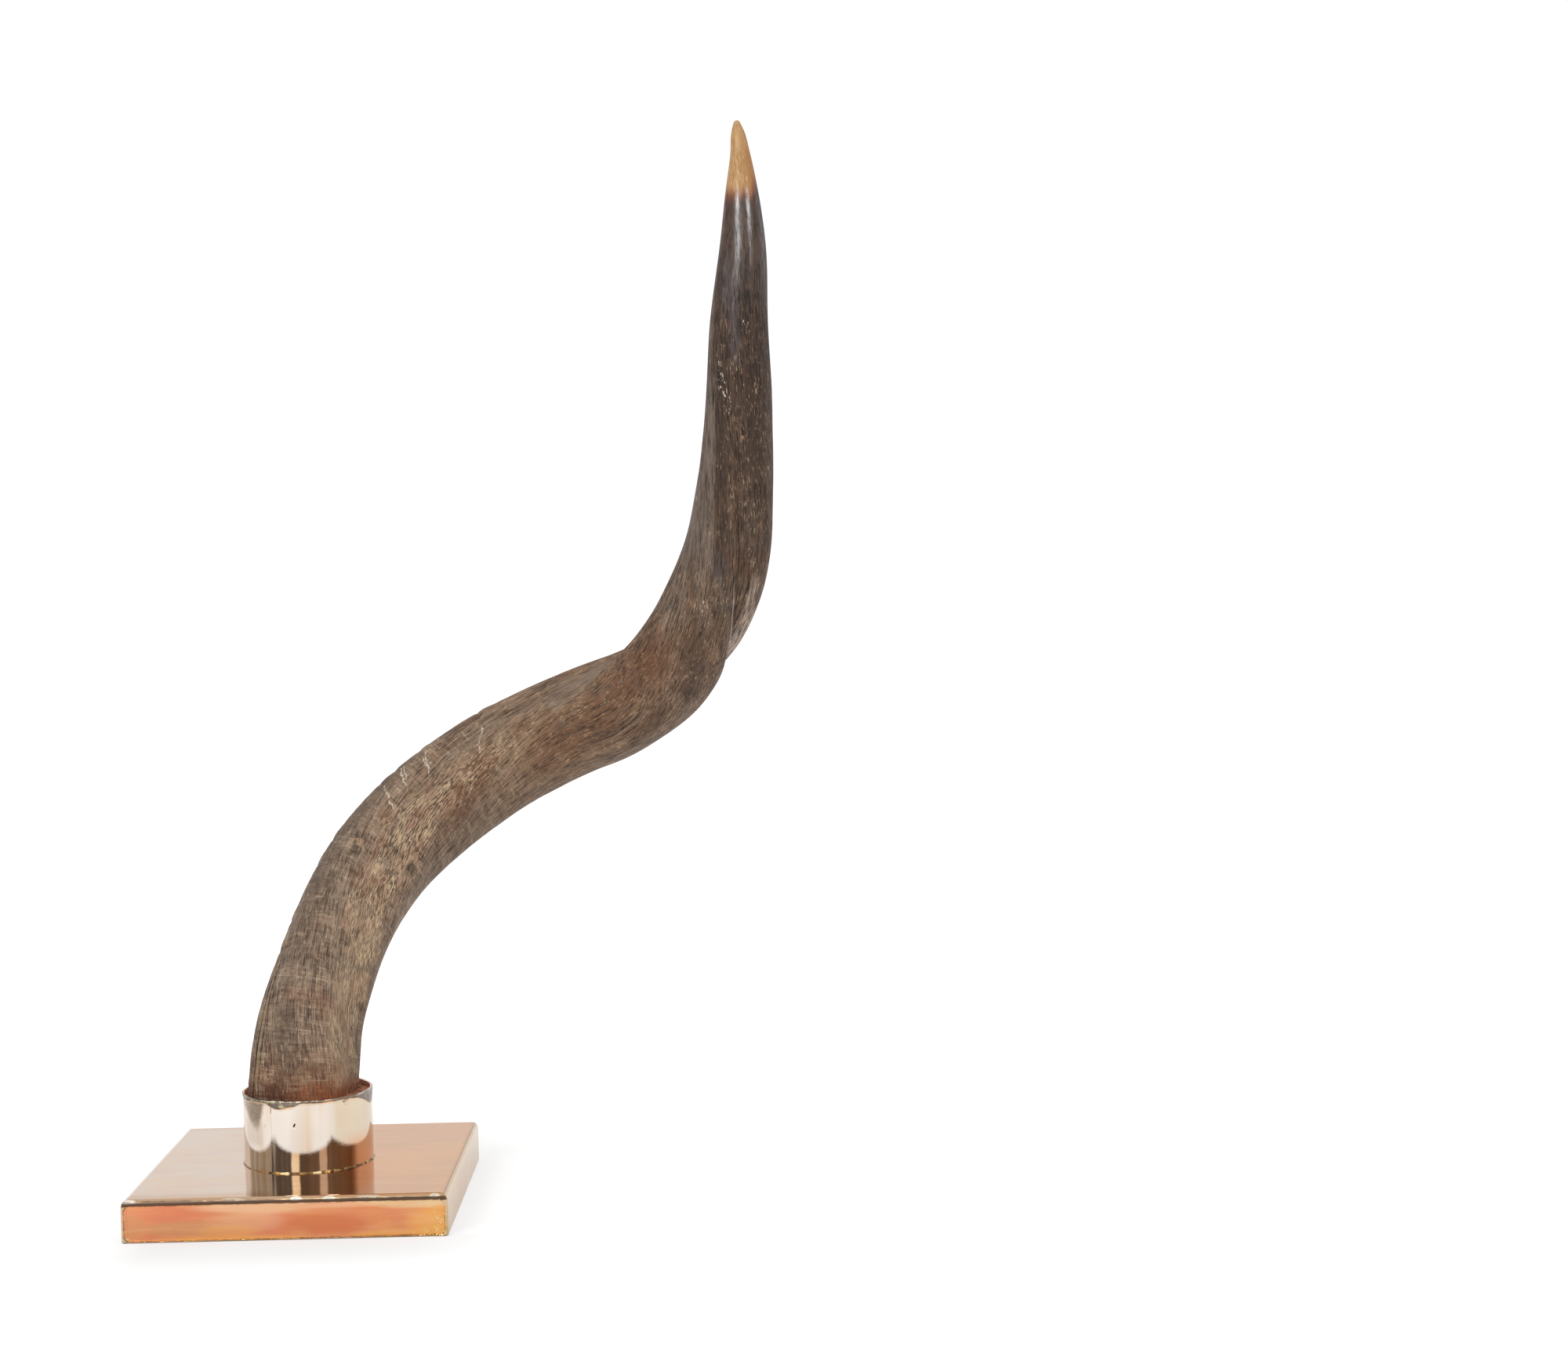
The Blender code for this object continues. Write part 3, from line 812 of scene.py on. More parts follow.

    # dirt and painted shade in the hollows, and the pale edges of cracks and lifted skin
    paint(between(groove, 0.1, 0.9) * 0.80, "grooveShadeAndDirt")
    leftFoot = 1 - between(turn, 0.65, 1.25)
    edgeShade = blend(leftFoot * (1 - between(along, 0.14, 0.17)), look["flake"], look["olive"])
    edgeShade = blend(between(along, 0.41, 0.43), edgeShade, look["paleRidge"])
    paint(between(pale + dashes * 0.8, 0.3, 0.7) * 0.70, edgeShade)
    wobble = grain(rod, 230, 4, 0.7) * 0.0075
    for at, bearing, lastAt, lastBearing in look["cracks"]:
        lean = (lastAt - at) / math.radians(lastBearing - bearing) * mm
        line = abs(along - at * mm - (turn - math.radians(bearing)) * lean + wobble)
        ends = [math.radians(one) for one in (bearing - 2, bearing + 3, lastBearing - 6, lastBearing + 2)]
        line = (1 - between(line, 0.00018, 0.00075)) * band(turn, *ends)
        paint(line * between(dashes + cloudy, -0.12, 0.0) * 0.85, "paleCrack")

    # reddish stain at the foot, darker on the left
    lowStain = 1 - between(along + tufts * 0.018 + cloudy * 0.020, 0.0415, 0.0505)
    stain = blend(leftFoot, look["stain"], look["darkStain"])
    paint(lowStain * between(strands, -0.5, 0.4), stain)

    # honey tip and chestnut edge; the dark horn climbs higher at the right, with a streak beside it
    start = look["tipStart"] * mm
    climbing = band(turn, 0.42, 0.82, 1.5, 2.2)
    streak = 1 - between(abs(turn - 0.36), 0.03, 0.15)
    edge = along + grain(stretched(rod, (1, 1, 0.3)), 210, 2, 0.5) * 0.008
    edge = edge - climbing * 0.0055 + streak * 0.0018
    chestnut = between(edge, start - 0.006, start + 0.0025)
    honey = between(edge, start - 0.002, start + 0.0065)
    paint(chestnut, "tipChestnut")
    tip = between(broad + dashes * 0.4 + hairs * 1.4, -0.20, 0.20)
    tip = blend(tip, look["tipHoney"], look["tipIvory"])
    tip = blend(band(turn, 0.1, 0.8, 1.5, 2.2) * 0.32, tip, look["tipOrange"])
    paint(honey, tip)

    polished = between(along, 0.640, 0.700)
    faceOn = band(turn, -0.85, -0.50, 0.72, 1.0)
    roughness = 0.62 - polished * 0.22 + hairs * 0.3 + cloudy * 0.14 + groove * 0.1
    relief = hairs * 0.9 + tufts * 1.0 + dashes * (1.0 + flaky * 1.4)
    relief = relief * calm + ringing * lowPart * 1.6
    relief = relief * (1 - polished * 0.72)
    coat = polished * (0.10 + faceOn * 0.72) * (1 + tufts * 1.6 + dashes * 2.0 + hairs * 3.6)
    coat = coat * (1 - honey * 0.90)
    finish.feed(relief, 1.2, Roughness=roughness, Coat_Weight=coat)
    return finish


makePiece("twistedHorn", hornShape(), hornFinish(), "horn")


# Collar: a thin band with an overlapped joint, solder along its mouth and a pit at the front

collarSetup = {
    "radius": 36.8, "wall": 1.0, "foot": 24.35, "mouth": 65.2, "around": 288, "rows": 44, "sharpFrom": 45,
    "jointBearing": -25, "jointStep": 0.12, "tarnishEdges": (-43, -41), "flare": 0.10, "rimEdge": 0.22,
    # bearing, reach in degrees and depth in millimetres by which the foot stands further out
    "footBulges": ((-46, 19, 0.40), (50, 18, -0.14)),
    # bearing, reach in degrees and depth in millimetres of the runs of solder along the mouth
    "solderRuns": ((-18, 10, 3.6), (-6, 7, 1.6), (20, 14, 0.5), (86, 20, 7.2), (-62, 14, 1.4),
                   (140, 22, 2.2), (-130, 26, 1.8)),
    "metal": (224, 213, 202), "goldCast": (212, 180, 144), "solder": (104, 98, 92),
    "greenSolder": (168, 166, 128), "slate": (128, 118, 112), "pit": (44, 30, 20), "rustDrip": (128, 84, 54),
    "tarnishAndDarkReflection": (110, 90, 70), "tarnishLeftAndReflection": (150, 126, 100), "lip": (150, 140, 126), "lap": (222, 196, 172),
    "paintedShadeRight": (206, 192, 170), "lowCopperReflection": (220, 150, 98), "inside": (246, 214, 196),
    # distance from the middle line, bearing and height, then reach across, inwards and up, of small marks
    "drip": ((36.9, 44, 62.8), (4.2, 4.0, 3.0)), "stains": ((36.8, -31, 50.5), (3, 3, 3)),
    "pits": (((36.8, -3.5, 51.1), (0.7, 3, 1.1)), ((36.8, -2.7, 52.1), (0.6, 3, 0.9))),
}


def roundPlace(radius, bearing, height):
    # a place on an upright cylinder; bearing 0 faces the front and grows to the right
    turn = math.radians(bearing)
    return radius * math.sin(turn), -radius * math.cos(turn), height


def bearingOf(place):
    return math.atan2(place.x, -place.y)


def solderDepth(bearing):
    # how far solder runs down from the mouth, in millimetres, at a bearing in degrees
    return 0.9 + sum(depth * hump(turnFrom(math.radians(bearing), middle), math.radians(wide))
                     for middle, wide, depth in collarSetup["solderRuns"])


def collarShape():
    setup = collarSetup
    shape = bmesh.new()
    solder = shape.verts.layers.float_vector.new("solder")
    bmesh.ops.create_circle(shape, radius=setup["radius"] * mm, segments=setup["around"])
    tall = setup["mouth"] - setup["foot"]
    for vert in shape.verts:
        vert.co.z = setup["foot"] * mm
    ring = list(shape.edges)
    for k in range(setup["rows"]):
        verts, ring = nextRing(shape, ring)
        bmesh.ops.translate(shape, verts=verts, vec=(0, 0, tall * mm / setup["rows"]))
    bmesh.ops.recalc_face_normals(shape, faces=shape.faces[:])
    bmesh.ops.solidify(shape, geom=shape.faces[:], thickness=setup["wall"] * mm)
    rims = [edge for edge in shape.edges
            if all(abs(one.co.z - setup["mouth"] * mm) < 1e-6 for one in edge.verts)]
    bmesh.ops.bevel(shape, geom=rims, offset=setup["rimEdge"] * mm, segments=2, profile=0.5, affect="EDGES",
                    material=-1)
    shape.normal_update()

    for vert in shape.verts:
        turn = bearingOf(vert.co)
        high = (vert.co.z / mm - setup["foot"]) / tall
        ring = ringPoint(turn, 1, high * 1.3)
        push = 0.16 * noise.noise(ring * 1.1) + 0.05 * noise.noise(ring * 3.1 + Vector((5, 0, 0)))
        push += setup["flare"] * 0.5 * softStep(high, 0.80, 1.0) ** 2
        low = 1 - softStep(high, 0.0, 0.55)
        for bearing, wide, depth in setup["footBulges"]:
            push += depth * low * hump(turnFrom(turn, bearing), math.radians(wide))
        past = turnFrom(turn, setup["jointBearing"]) * setup["radius"]
        push += setup["jointStep"] * (1 - softStep(past, -0.25, 0.25)) * (1 - softStep(-past, 2.0, 9.0))
        rimWave = 0.30 * noise.noise(ringPoint(turn, 2.2, 3)) + 0.16 * noise.noise(ringPoint(turn, 7, 8))
        depth = solderDepth(math.degrees(turn))
        out = outwards(vert.co)
        if out.dot(vert.normal) > 0.3:
            # solder stands proud along the mouth, in lumps
            lumps = 0.5 + noise.noise(Vector((turn * 12, vert.co.z / mm / 2.2, 5)))
            proud = softStep(vert.co.z / mm, setup["mouth"] - depth - 0.4, setup["mouth"] - depth * 0.5)
            push += 0.40 * lumps * proud
        # how far below the mouth, and how deep the solder runs there, both in millimetres
        vert[solder] = Vector((setup["mouth"] - vert.co.z / mm, depth, 0))
        vert.co += out * push * mm
        vert.co.z += rimWave * mm * softStep(high, 0.7, 1.0)
    return shape


def collarFinish():
    look = collarSetup
    finish = Finish("polished collar", look)
    paint = finish.paint
    here = finish.here()
    x, y, z = split(here)
    below, runs = split(finish.carried("solder"))[:2]
    turn = x.sum("ARCTAN2", x, 0 - y)
    clouds = grain(here, 42, 4, 0.6)
    lumps = grain(stretched(here, (1, 1, 1.6)), 190, 4, 0.65)
    brushed = grain(stretched(here, (1, 1, 14)), 300, 3, 0.6)
    specks = grain(here, 900, 2, 0.5)
    skin = look["radius"] * mm
    outsideWall = between(lengthOf(stretched(here, (1, 1, 0))), skin - 0.0004, skin - 0.0002)
    uprights = grain(stretched(here, (1, 1, 0.10)), 55, 3, 0.55)
    atBack = between(abs(turn), 1.9, 2.9)
    cast = uprights + (between(turn, 0.25, 0.75) * 0.10 - between(turn, -0.6, 0.1) * 0.06) * (1 - atBack)
    cast = between(cast, -0.10, 0.16)
    finish.colour = blend(cast * (0.62 + clouds * 0.8), look["metal"], look["goldCast"])

    # the right side is painted darker, a painted shade, and the low right painted copper, a painted
    # reflection of the base
    rightward = between(turn, 0.40, 0.65) * (1 - atBack)
    paint(rightward * 0.60, "paintedShadeRight")
    lowRight = (1 - between(z, 0.034, 0.046)) * between(turn, 0.45, 1.0) * (1 - atBack)
    paint(lowRight * 0.55, "lowCopperReflection")
    # the inside wall is painted paler, a painted light
    paint(1 - outsideWall, "inside")

    # tarnish with a painted dark reflection in a wedge beside the joint, fainter below it, and the lapped
    # strip
    fromJoint = turn - math.radians(look["jointBearing"])
    down = (z - 0.0455) / 0.0185
    ragged = clouds * 0.16 + lumps * 0.10
    left, right = [turn - math.radians(bearing) for bearing in look["tarnishEdges"]]
    tarnishAndDarkReflection = between(left + down * 0.50 + ragged, -0.08, 0.09) * between(down + lumps * 0.3, -0.10, 0.45)
    tarnishAndDarkReflection = tarnishAndDarkReflection * (1 - between(right - down * 0.17 + ragged * 0.6, -0.07, 0.04))
    tarnishReflectionShade = blend(between(turn, -1.15, -0.85), look["tarnishLeftAndReflection"], look["tarnishAndDarkReflection"])
    paint(tarnishAndDarkReflection * (0.85 + brushed * 0.8), tarnishReflectionShade)
    faint = band(turn, -1.15, -0.98, -0.75, -0.52)
    faint = faint * between(z + clouds * 0.01, 0.033, 0.041) * (1 - between(z, 0.050, 0.058))
    paint(faint * (0.45 + uprights * 1.2), "tarnishLeftAndReflection")
    lap = band(fromJoint, -0.125, -0.085, -0.02, 0.01) * between(z + clouds * 0.02, 0.046, 0.058)
    paint(lap * 0.55, "lap")
    beside = 1 - between(abs(fromJoint + lumps * 0.03), 0.004, 0.014)
    beside = beside * (0.12 + between(z + lumps * 0.004, 0.0575, 0.0595) * 0.7)
    paint(beside, "solder")

    # solder left along the mouth, in runs
    edge = below - runs + lumps * 2.6
    solder = (1 - between(edge, -0.25, 0.25)) * outsideWall
    green = between(lumps + clouds * 0.6, -0.03, 0.08)
    patina = blend(green, look["solder"], look["greenSolder"])
    patina = blend(between(turn, 0.9, 1.2) * (1 - atBack), patina, look["slate"])
    lip = blend(between(lumps + specks * 0.6, 0.02, 0.10), look["lip"], look["metal"])
    patina = blend(between(below + lumps * 0.8, 0.30, 0.80), lip, patina)
    paint(solder * 0.92, patina)
    outline = (1 - between(abs(edge), 0.10, 0.55)) * outsideWall * between(below, 0.3, 0.7)
    paint(outline * between(lumps, -0.14, 0.00) * 0.75, "pit")
    yellow = (1 - between(edge, 0.3, 1.6)) * (1 - solder) * outsideWall
    paint(yellow * 0.5, "goldCast")

    # a brown drip, a pit and specks
    def mark(place, reach):
        return spotAt(here, roundPlace(*place), reach)

    drip = mark(*look["drip"])
    smear = between(drip * 0.35 + lumps * 1.4 + specks * 1.2, 0.24, 0.42) * between(drip, 0.02, 0.25)
    paint(smear * 0.75, "rustDrip")
    pit = mark(*look["pits"][0]) + mark(*look["pits"][1])
    stains = mark(*look["stains"])
    dots = between(specks + clouds * 0.3 + stains * 0.18, 0.27, 0.30)
    paint(between(pit, 0.2, 0.6), "pit")
    paint(dots * 0.5, "pit")
    roughness = 0.036 + clouds * 0.04 + solder * 0.26 + pit * 0.4 + tarnishAndDarkReflection * 0.12 + brushed * 0.015
    roughness = roughness + (1 - outsideWall) * 0.34
    relief = brushed * 0.04 + solder * (0.4 + lumps * 4) - pit * 2
    finish.feed(relief, 0.18, Roughness=roughness, Metallic=1 - pit * 0.7)
    return finish


makePiece("polishedCollar", collarShape(), collarFinish(), "collar")


# Solder bead: a lumpy fillet round the collar's foot

beadSetup = {
    # the outline's points, from the collar's foot outwards and up, and how many steps it takes round
    "inside": 36.75, "foot": 23.9, "width": 0.9, "height": 0.95, "around": 288,
    "outline": ((0, 0), (1, 0), (0.86, 0.22), (0.58, 0.50), (0.30, 0.80), (0.1, 1.0), (0, 1.0)),
    "dark": (84, 64, 44), "brass": (206, 160, 100), "brown": (112, 82, 56),
    # the bright colour is a painted highlight, laid at these bearings
    "bright": (255, 230, 176), "highlightAt": (-12.5, 15.5),   # degrees from the front
    "highlightReach": (3.4, 4, 3), "sharpFrom": 40,
}


def beadShape():
    setup = beadSetup
    shape = spunShape([(setup["inside"] + setup["width"] * wide, setup["foot"] + setup["height"] * high)
                       for wide, high in setup["outline"]], setup["around"])
    for vert in shape.verts:
        wide = math.hypot(vert.co.x, vert.co.y) / mm - setup["inside"]
        high = vert.co.z / mm - setup["foot"]
        ring = ringPoint(bearingOf(vert.co), 1, 0)
        swell = 1 + 0.42 * noise.noise(ring * 5) + 0.26 * noise.noise(ring * 15 + Vector((0, 0, 4)))
        if wide > 0.05:
            vert.co += outwards(vert.co) * wide * (swell - 1) * mm
        if high > 0.05:
            vert.co.z = (setup["foot"] + high * swell) * mm
    return shape


def beadFinish():
    look = beadSetup
    finish = Finish("foot solder", look)
    here = finish.here()
    lumps = grain(here, 260, 4, 0.6)
    broad = grain(here, 60, 3, 0.5)
    finish.colour = blend(between(lumps, -0.08, 0.12), look["dark"], look["brass"])
    finish.paint(between(broad, -0.02, 0.12) * 0.6, "brown")
    reach, height = look["inside"] + look["width"] * 0.6, look["foot"] + look["height"] * 0.5
    # two painted highlights on the solder
    for bearing in look["highlightAt"]:
        spot = spotAt(here, roundPlace(reach, bearing, height), look["highlightReach"])
        finish.paint(between(spot, 0.1, 0.8) * 0.9, "bright")
    finish.feed(lumps + broad, 0.4, Roughness=0.20 + lumps * 0.3, Metallic=1.0)
    return finish


makePiece("footSolder", beadShape(), beadFinish(), "solder_bead")


# Bedding: the reddish filler between horn and collar

beddingSetup = {
    "outside": 35.65, "bottom": 25.2, "top": 62.4, "wide": 9.0, "topSteps": 10, "around": 240,
    "sharpFrom": 60, "deep": (104, 58, 40), "red": (172, 112, 78), "grit": (186, 140, 104),
}


def beddingShape():
    setup = beddingSetup
    outside, wide, steps = setup["outside"], setup["wide"], setup["topSteps"]
    across = [(outside - wide * k / steps, setup["top"]) for k in range(steps + 1)]
    outline = [(outside, setup["bottom"])] + across + [(outside - wide, setup["bottom"])]
    shape = spunShape(outline, setup["around"])
    for vert in shape.verts:
        if vert.co.z / mm > setup["top"] - 0.1:
            inward = outside - math.hypot(vert.co.x, vert.co.y) / mm
            rough = 0.9 * noise.noise(vert.co / mm / 3.2) + 0.45 * noise.noise(vert.co / mm / 1.3)
            vert.co.z += (rough * softStep(inward, 0.0, 1.2) + 0.35 * softStep(inward, 0.5, 4.0)) * mm
    return shape


def beddingFinish():
    look = beddingSetup
    finish = Finish("red bedding", look)
    here = finish.here()
    grit = grain(here, 900, 3, 0.6)
    broad = grain(here, 140, 4, 0.6)
    finish.colour = blend(between(broad, -0.15, 0.15), look["deep"], look["red"])
    finish.paint(between(grit, 0.10, 0.25) * 0.5, "grit")
    finish.feed(grit + broad, 0.6, Roughness=0.82 + grit * 0.2)
    return finish


makePiece("redBedding", beddingShape(), beddingFinish(), "bedding")


# Base: sheet metal folded down over the block at the sides, with plates soldered in at front and back

baseSetup = {
    "half": 89.0, "height": 24.0, "corner": 1.5, "cornerSteps": 6, "nearSpacing": 0.45, "nearReach": 8.0,
    "farSpacing": 1.7, "sharpFrom": 50,
    # setbacks at front and back and at the sides, and height, from the open underside up and over the edge
    "foot": ((2.4, 2.4, 22.4), (2.2, 2.2, 0.35), (1.9, 1.9, 0.05), (1.2, 1.2, 0.0), (0.6, 0.5, 0.1),
             (0.25, 0.15, 0.4)),
    "wallRows": 36, "wallFrom": 0.9, "wallTo": 20.3, "wallSetback": 0.12,
    "lip": ((0.55, 0.10, 20.55), (0.42, 0.14, 20.72), (0.12, 0.18, 20.85), (0.0, 0.29, 21.2),
            (0.03, 0.46, 21.6), (0.12, 0.68, 22.0), (0.27, 0.96, 22.4), (0.5, 1.32, 22.8),
            (0.82, 1.77, 23.18), (1.25, 2.34, 23.53), (1.75, 2.98, 23.8), (2.3, 3.62, 23.95),
            (2.9, 4.25, 24.0), (3.6, 4.8, 23.97), (4.6, 5.4, 23.95)),
    "topRings": (7, 10, 13, 16, 19, 22, 25, 28, 31, 34, 37, 40, 43, 46, 49, 52, 58, 66, 76),
    # the plate: from and to along the front, from and to in height, roundness of corners; how deep it lies
    "plate": (-87.6, 87.4, 1.0, 20.45, 3.2), "plateDepth": 0.42, "front": -88.5,
    # how far in the last ring lies before the middle closes, and how far the rounded bottom corners reach
    "closing": 88.6, "bottomRound": 2.2, "bottomRoundTall": 8,
    "copper": (222, 148, 103), "rose": (219, 133, 99), "rust": (211, 124, 84), "tan": (210, 148, 104),
    "pink": (232, 180, 140), "gold": (233, 168, 98), "paleGold": (228, 196, 150),
    # patches of the front plate: shade, middle along and up, reach along and up, and strength
    "frontPatches": (("rose", -62, 15.0, 52, 7.0, 0.6), ("tan", -52, 7.5, 44, 6.5, 0.9),
                     ("tan", -84, 9, 13, 12, 0.8), ("pink", -16, 19.0, 50, 6.5, 1.0),
                     ("rust", 24, 9, 36, 9, 0.9), ("rose", 46, 14, 26, 6, 0.5),
                     ("pink", -22, 11.0, 30, 9.0, 0.5), ("pink", 30, 20.0, 40, 4.0, 0.8),
                     ("gold", 84, 7, 26, 18, 1.0), ("paleGold", 72, 19.8, 40, 5.5, 0.9),
                     ("gold", -30, 1.2, 60, 3.5, 0.8), ("gold", 60, 1.5, 40, 4.5, 0.8),
                     ("paleGold", -86.5, 1.8, 3, 2.2, 1.0), ("gold", -30, 6, 24, 5, 0.5)),
    # middle and reach along the front, in millimetres, and strength of the painted highlights on the lip
    "lipPaintedHighlights": ((-84.5, 6, 0.9), (6.5, 4.5, 0.95), (24.5, 5, 0.6), (-28, 9, 0.3), (46, 9, 0.3),
                 (82, 4, 0.5)),
    "topLeft": (213, 192, 172), "topRight": (203, 151, 104), "topNear": (214, 157, 96),
    "topEdge": (193, 156, 122), "sideLow": (187, 149, 98), "sideMiddle": (198, 162, 126),
    # the darkest colour here, used under the lip, is a painted dark reflection; the brightest ones are
    # painted highlights and glints
    "sideHigh": (204, 178, 146), "sideBack": (202, 183, 160), "bead": (192, 164, 130), "lipDarkReflection": (57, 31, 16),
    "paintedHighlight": (255, 250, 234), "solder": (208, 188, 158), "dark": (92, 70, 48), "paintedGlint": (244, 204, 120),
    # middle and reach of the warm place right of the collar and of the solder lumps at the right end
    "near": ((52, -12, 24), (34, 50, 20)),
    "rightSolder": (((85.0, -88.5, 8.0), (8.5, 20, 13.0)), ((76, -88.5, 2.5), (9.5, 20, 3.6))),
}


def basePoints():
    # where the points lie along one side, from corner to corner: place from -1 to 1, and turn in radians
    setup = baseSetup
    straight = setup["half"] - setup["corner"]
    near = [k * setup["nearSpacing"] for k in range(int(setup["nearReach"] / setup["nearSpacing"]) + 1)]
    gap = 2 * (straight - near[-1])
    count = round(gap / setup["farSpacing"])
    travels = near + [near[-1] + gap * k / count for k in range(1, count)]
    travels += [2 * straight - one for one in reversed(near)]
    steps = setup["cornerSteps"]
    points = [(-1.0, -math.pi / 4 * (1 - k / steps)) for k in range(steps)]
    points += [(one / straight - 1, 0.0) for one in travels]
    return points + [(1.0, math.pi / 4 * k / steps) for k in range(1, steps)]


def plateEdge(x, z):
    # distance outside the plate's rounded outline, less than 0 inside it
    left, right, low, high, roundness = baseSetup["plate"]
    wide = abs(x - (left + right) / 2) - (right - left) / 2 + roundness
    tall = abs(z - (low + high) / 2) - (high - low) / 2 + roundness
    return math.hypot(max(wide, 0), max(tall, 0)) + min(max(wide, tall), 0) - roundness


def claddingShape():
    setup = baseSetup
    points = basePoints()
    count = len(points) * 4
    shape = bmesh.new()
    seam = shape.verts.layers.float_vector.new("seam")
    bmesh.ops.create_circle(shape, radius=1, segments=count)
    footRing = ring = list(shape.edges)
    places = {}

    def lay(verts, frontSetback, sideSetback, height):
        corner = max(setup["corner"] - (frontSetback + sideSetback) * 0.4, 0.35)
        for vert in verts:
            index = round(math.atan2(vert.co.x, -vert.co.y) / (2 * math.pi) * count) % count
            quarter, k = index // len(points), index % len(points)
            part, turn = points[k]
            halves = [setup["half"] - sideSetback, setup["half"] - frontSetback]
            long, away = halves if quarter % 2 == 0 else halves[::-1]
            spot = Vector((part * (long - corner) + corner * math.sin(turn),
                           -(away - corner) - corner * math.cos(turn), height))
            facing = 0.5 if abs(turn) > 0.5 else 1.0 if quarter % 2 == 0 else 0.0
            places[vert] = (Matrix.Rotation(quarter * math.pi / 2, 3, "Z") @ spot, facing)

    rows = list(setup["foot"])
    crown = setup["height"] - 0.05
    rise = (setup["wallTo"] - setup["wallFrom"]) / (setup["wallRows"] - 1)
    rows += [(setup["wallSetback"], 0.0, setup["wallFrom"] + rise * k) for k in range(setup["wallRows"])]
    rows += list(setup["lip"]) + [(one, one, crown) for one in setup["topRings"]]
    lay(list(shape.verts), *rows[0])
    for row in rows[1:]:
        verts, ring = nextRing(shape, ring)
        lay(verts, *row)
    middles = []
    for lastRing, height in ((ring, crown), (footRing, rows[0][2])):
        verts, ring = nextRing(shape, lastRing)
        lay(verts, setup["closing"], setup["closing"], height)
        middles.append((verts, height))
    sidesFrom = setup["half"] - 3
    for vert, (spot, facing) in places.items():
        edge = max(abs(spot.x), abs(spot.y))
        outside = plateEdge(spot.x, spot.z)
        onPlate = facing == 1.0 and 0.3 < spot.z < 20.5 and abs(spot.y) > sidesFrom
        vert[seam] = Vector((outside if facing > 0 else 4.0, facing, 0))
        outward = Vector([one if abs(one) > sidesFrom else 0 for one in spot.xy] + [0])
        if spot.z > 23.5 and edge < 88:
            dents = 0.05 * noise.noise(spot / 24) + 0.02 * noise.noise(spot / 9)
            spot.z += dents * (1 - softStep(edge, 83, 86))
        if outward.length > 0 and spot.z > 0.2 and edge > 86.4:
            wave = 0.10 * noise.noise(spot / 17) + 0.04 * noise.noise(spot / 6)
            if onPlate:
                wave -= setup["plateDepth"] * (1 - softStep(outside, -0.25, 0.35))
                rough = noise.noise(spot / 1.1) + 0.6 * noise.noise(spot / 0.55)
                heavy = 1.0 if spot.x * -spot.y > 0 and abs(spot.x) > 80 else 0.35
                wave += 0.34 * heavy * hump(outside - 0.9, 1.2) * (0.35 + rough)
                splash = softStep(outside, -7, -0.5) * softStep(noise.noise(spot / 2.3), 0.1, 0.4)
                wave += 0.25 * heavy * rough * splash
            spot = spot + outward.normalized() * wave
        # the sheet's bottom corners are rounded a little
        reach, tall = setup["bottomRound"], setup["bottomRoundTall"]
        inside = reach - (2 * setup["half"] - abs(spot.x) - abs(spot.y))
        if inside > 0 and spot.z < tall and edge > sidesFrom:
            spot.z += (reach - math.sqrt(reach ** 2 - inside ** 2)) * (1 - spot.z / tall)
        vert.co = spot * mm
    for verts, height in middles:
        bmesh.ops.pointmerge(shape, verts=verts, merge_co=(0, 0, height * mm))
    bmesh.ops.recalc_face_normals(shape, faces=shape.faces[:])
    return shape


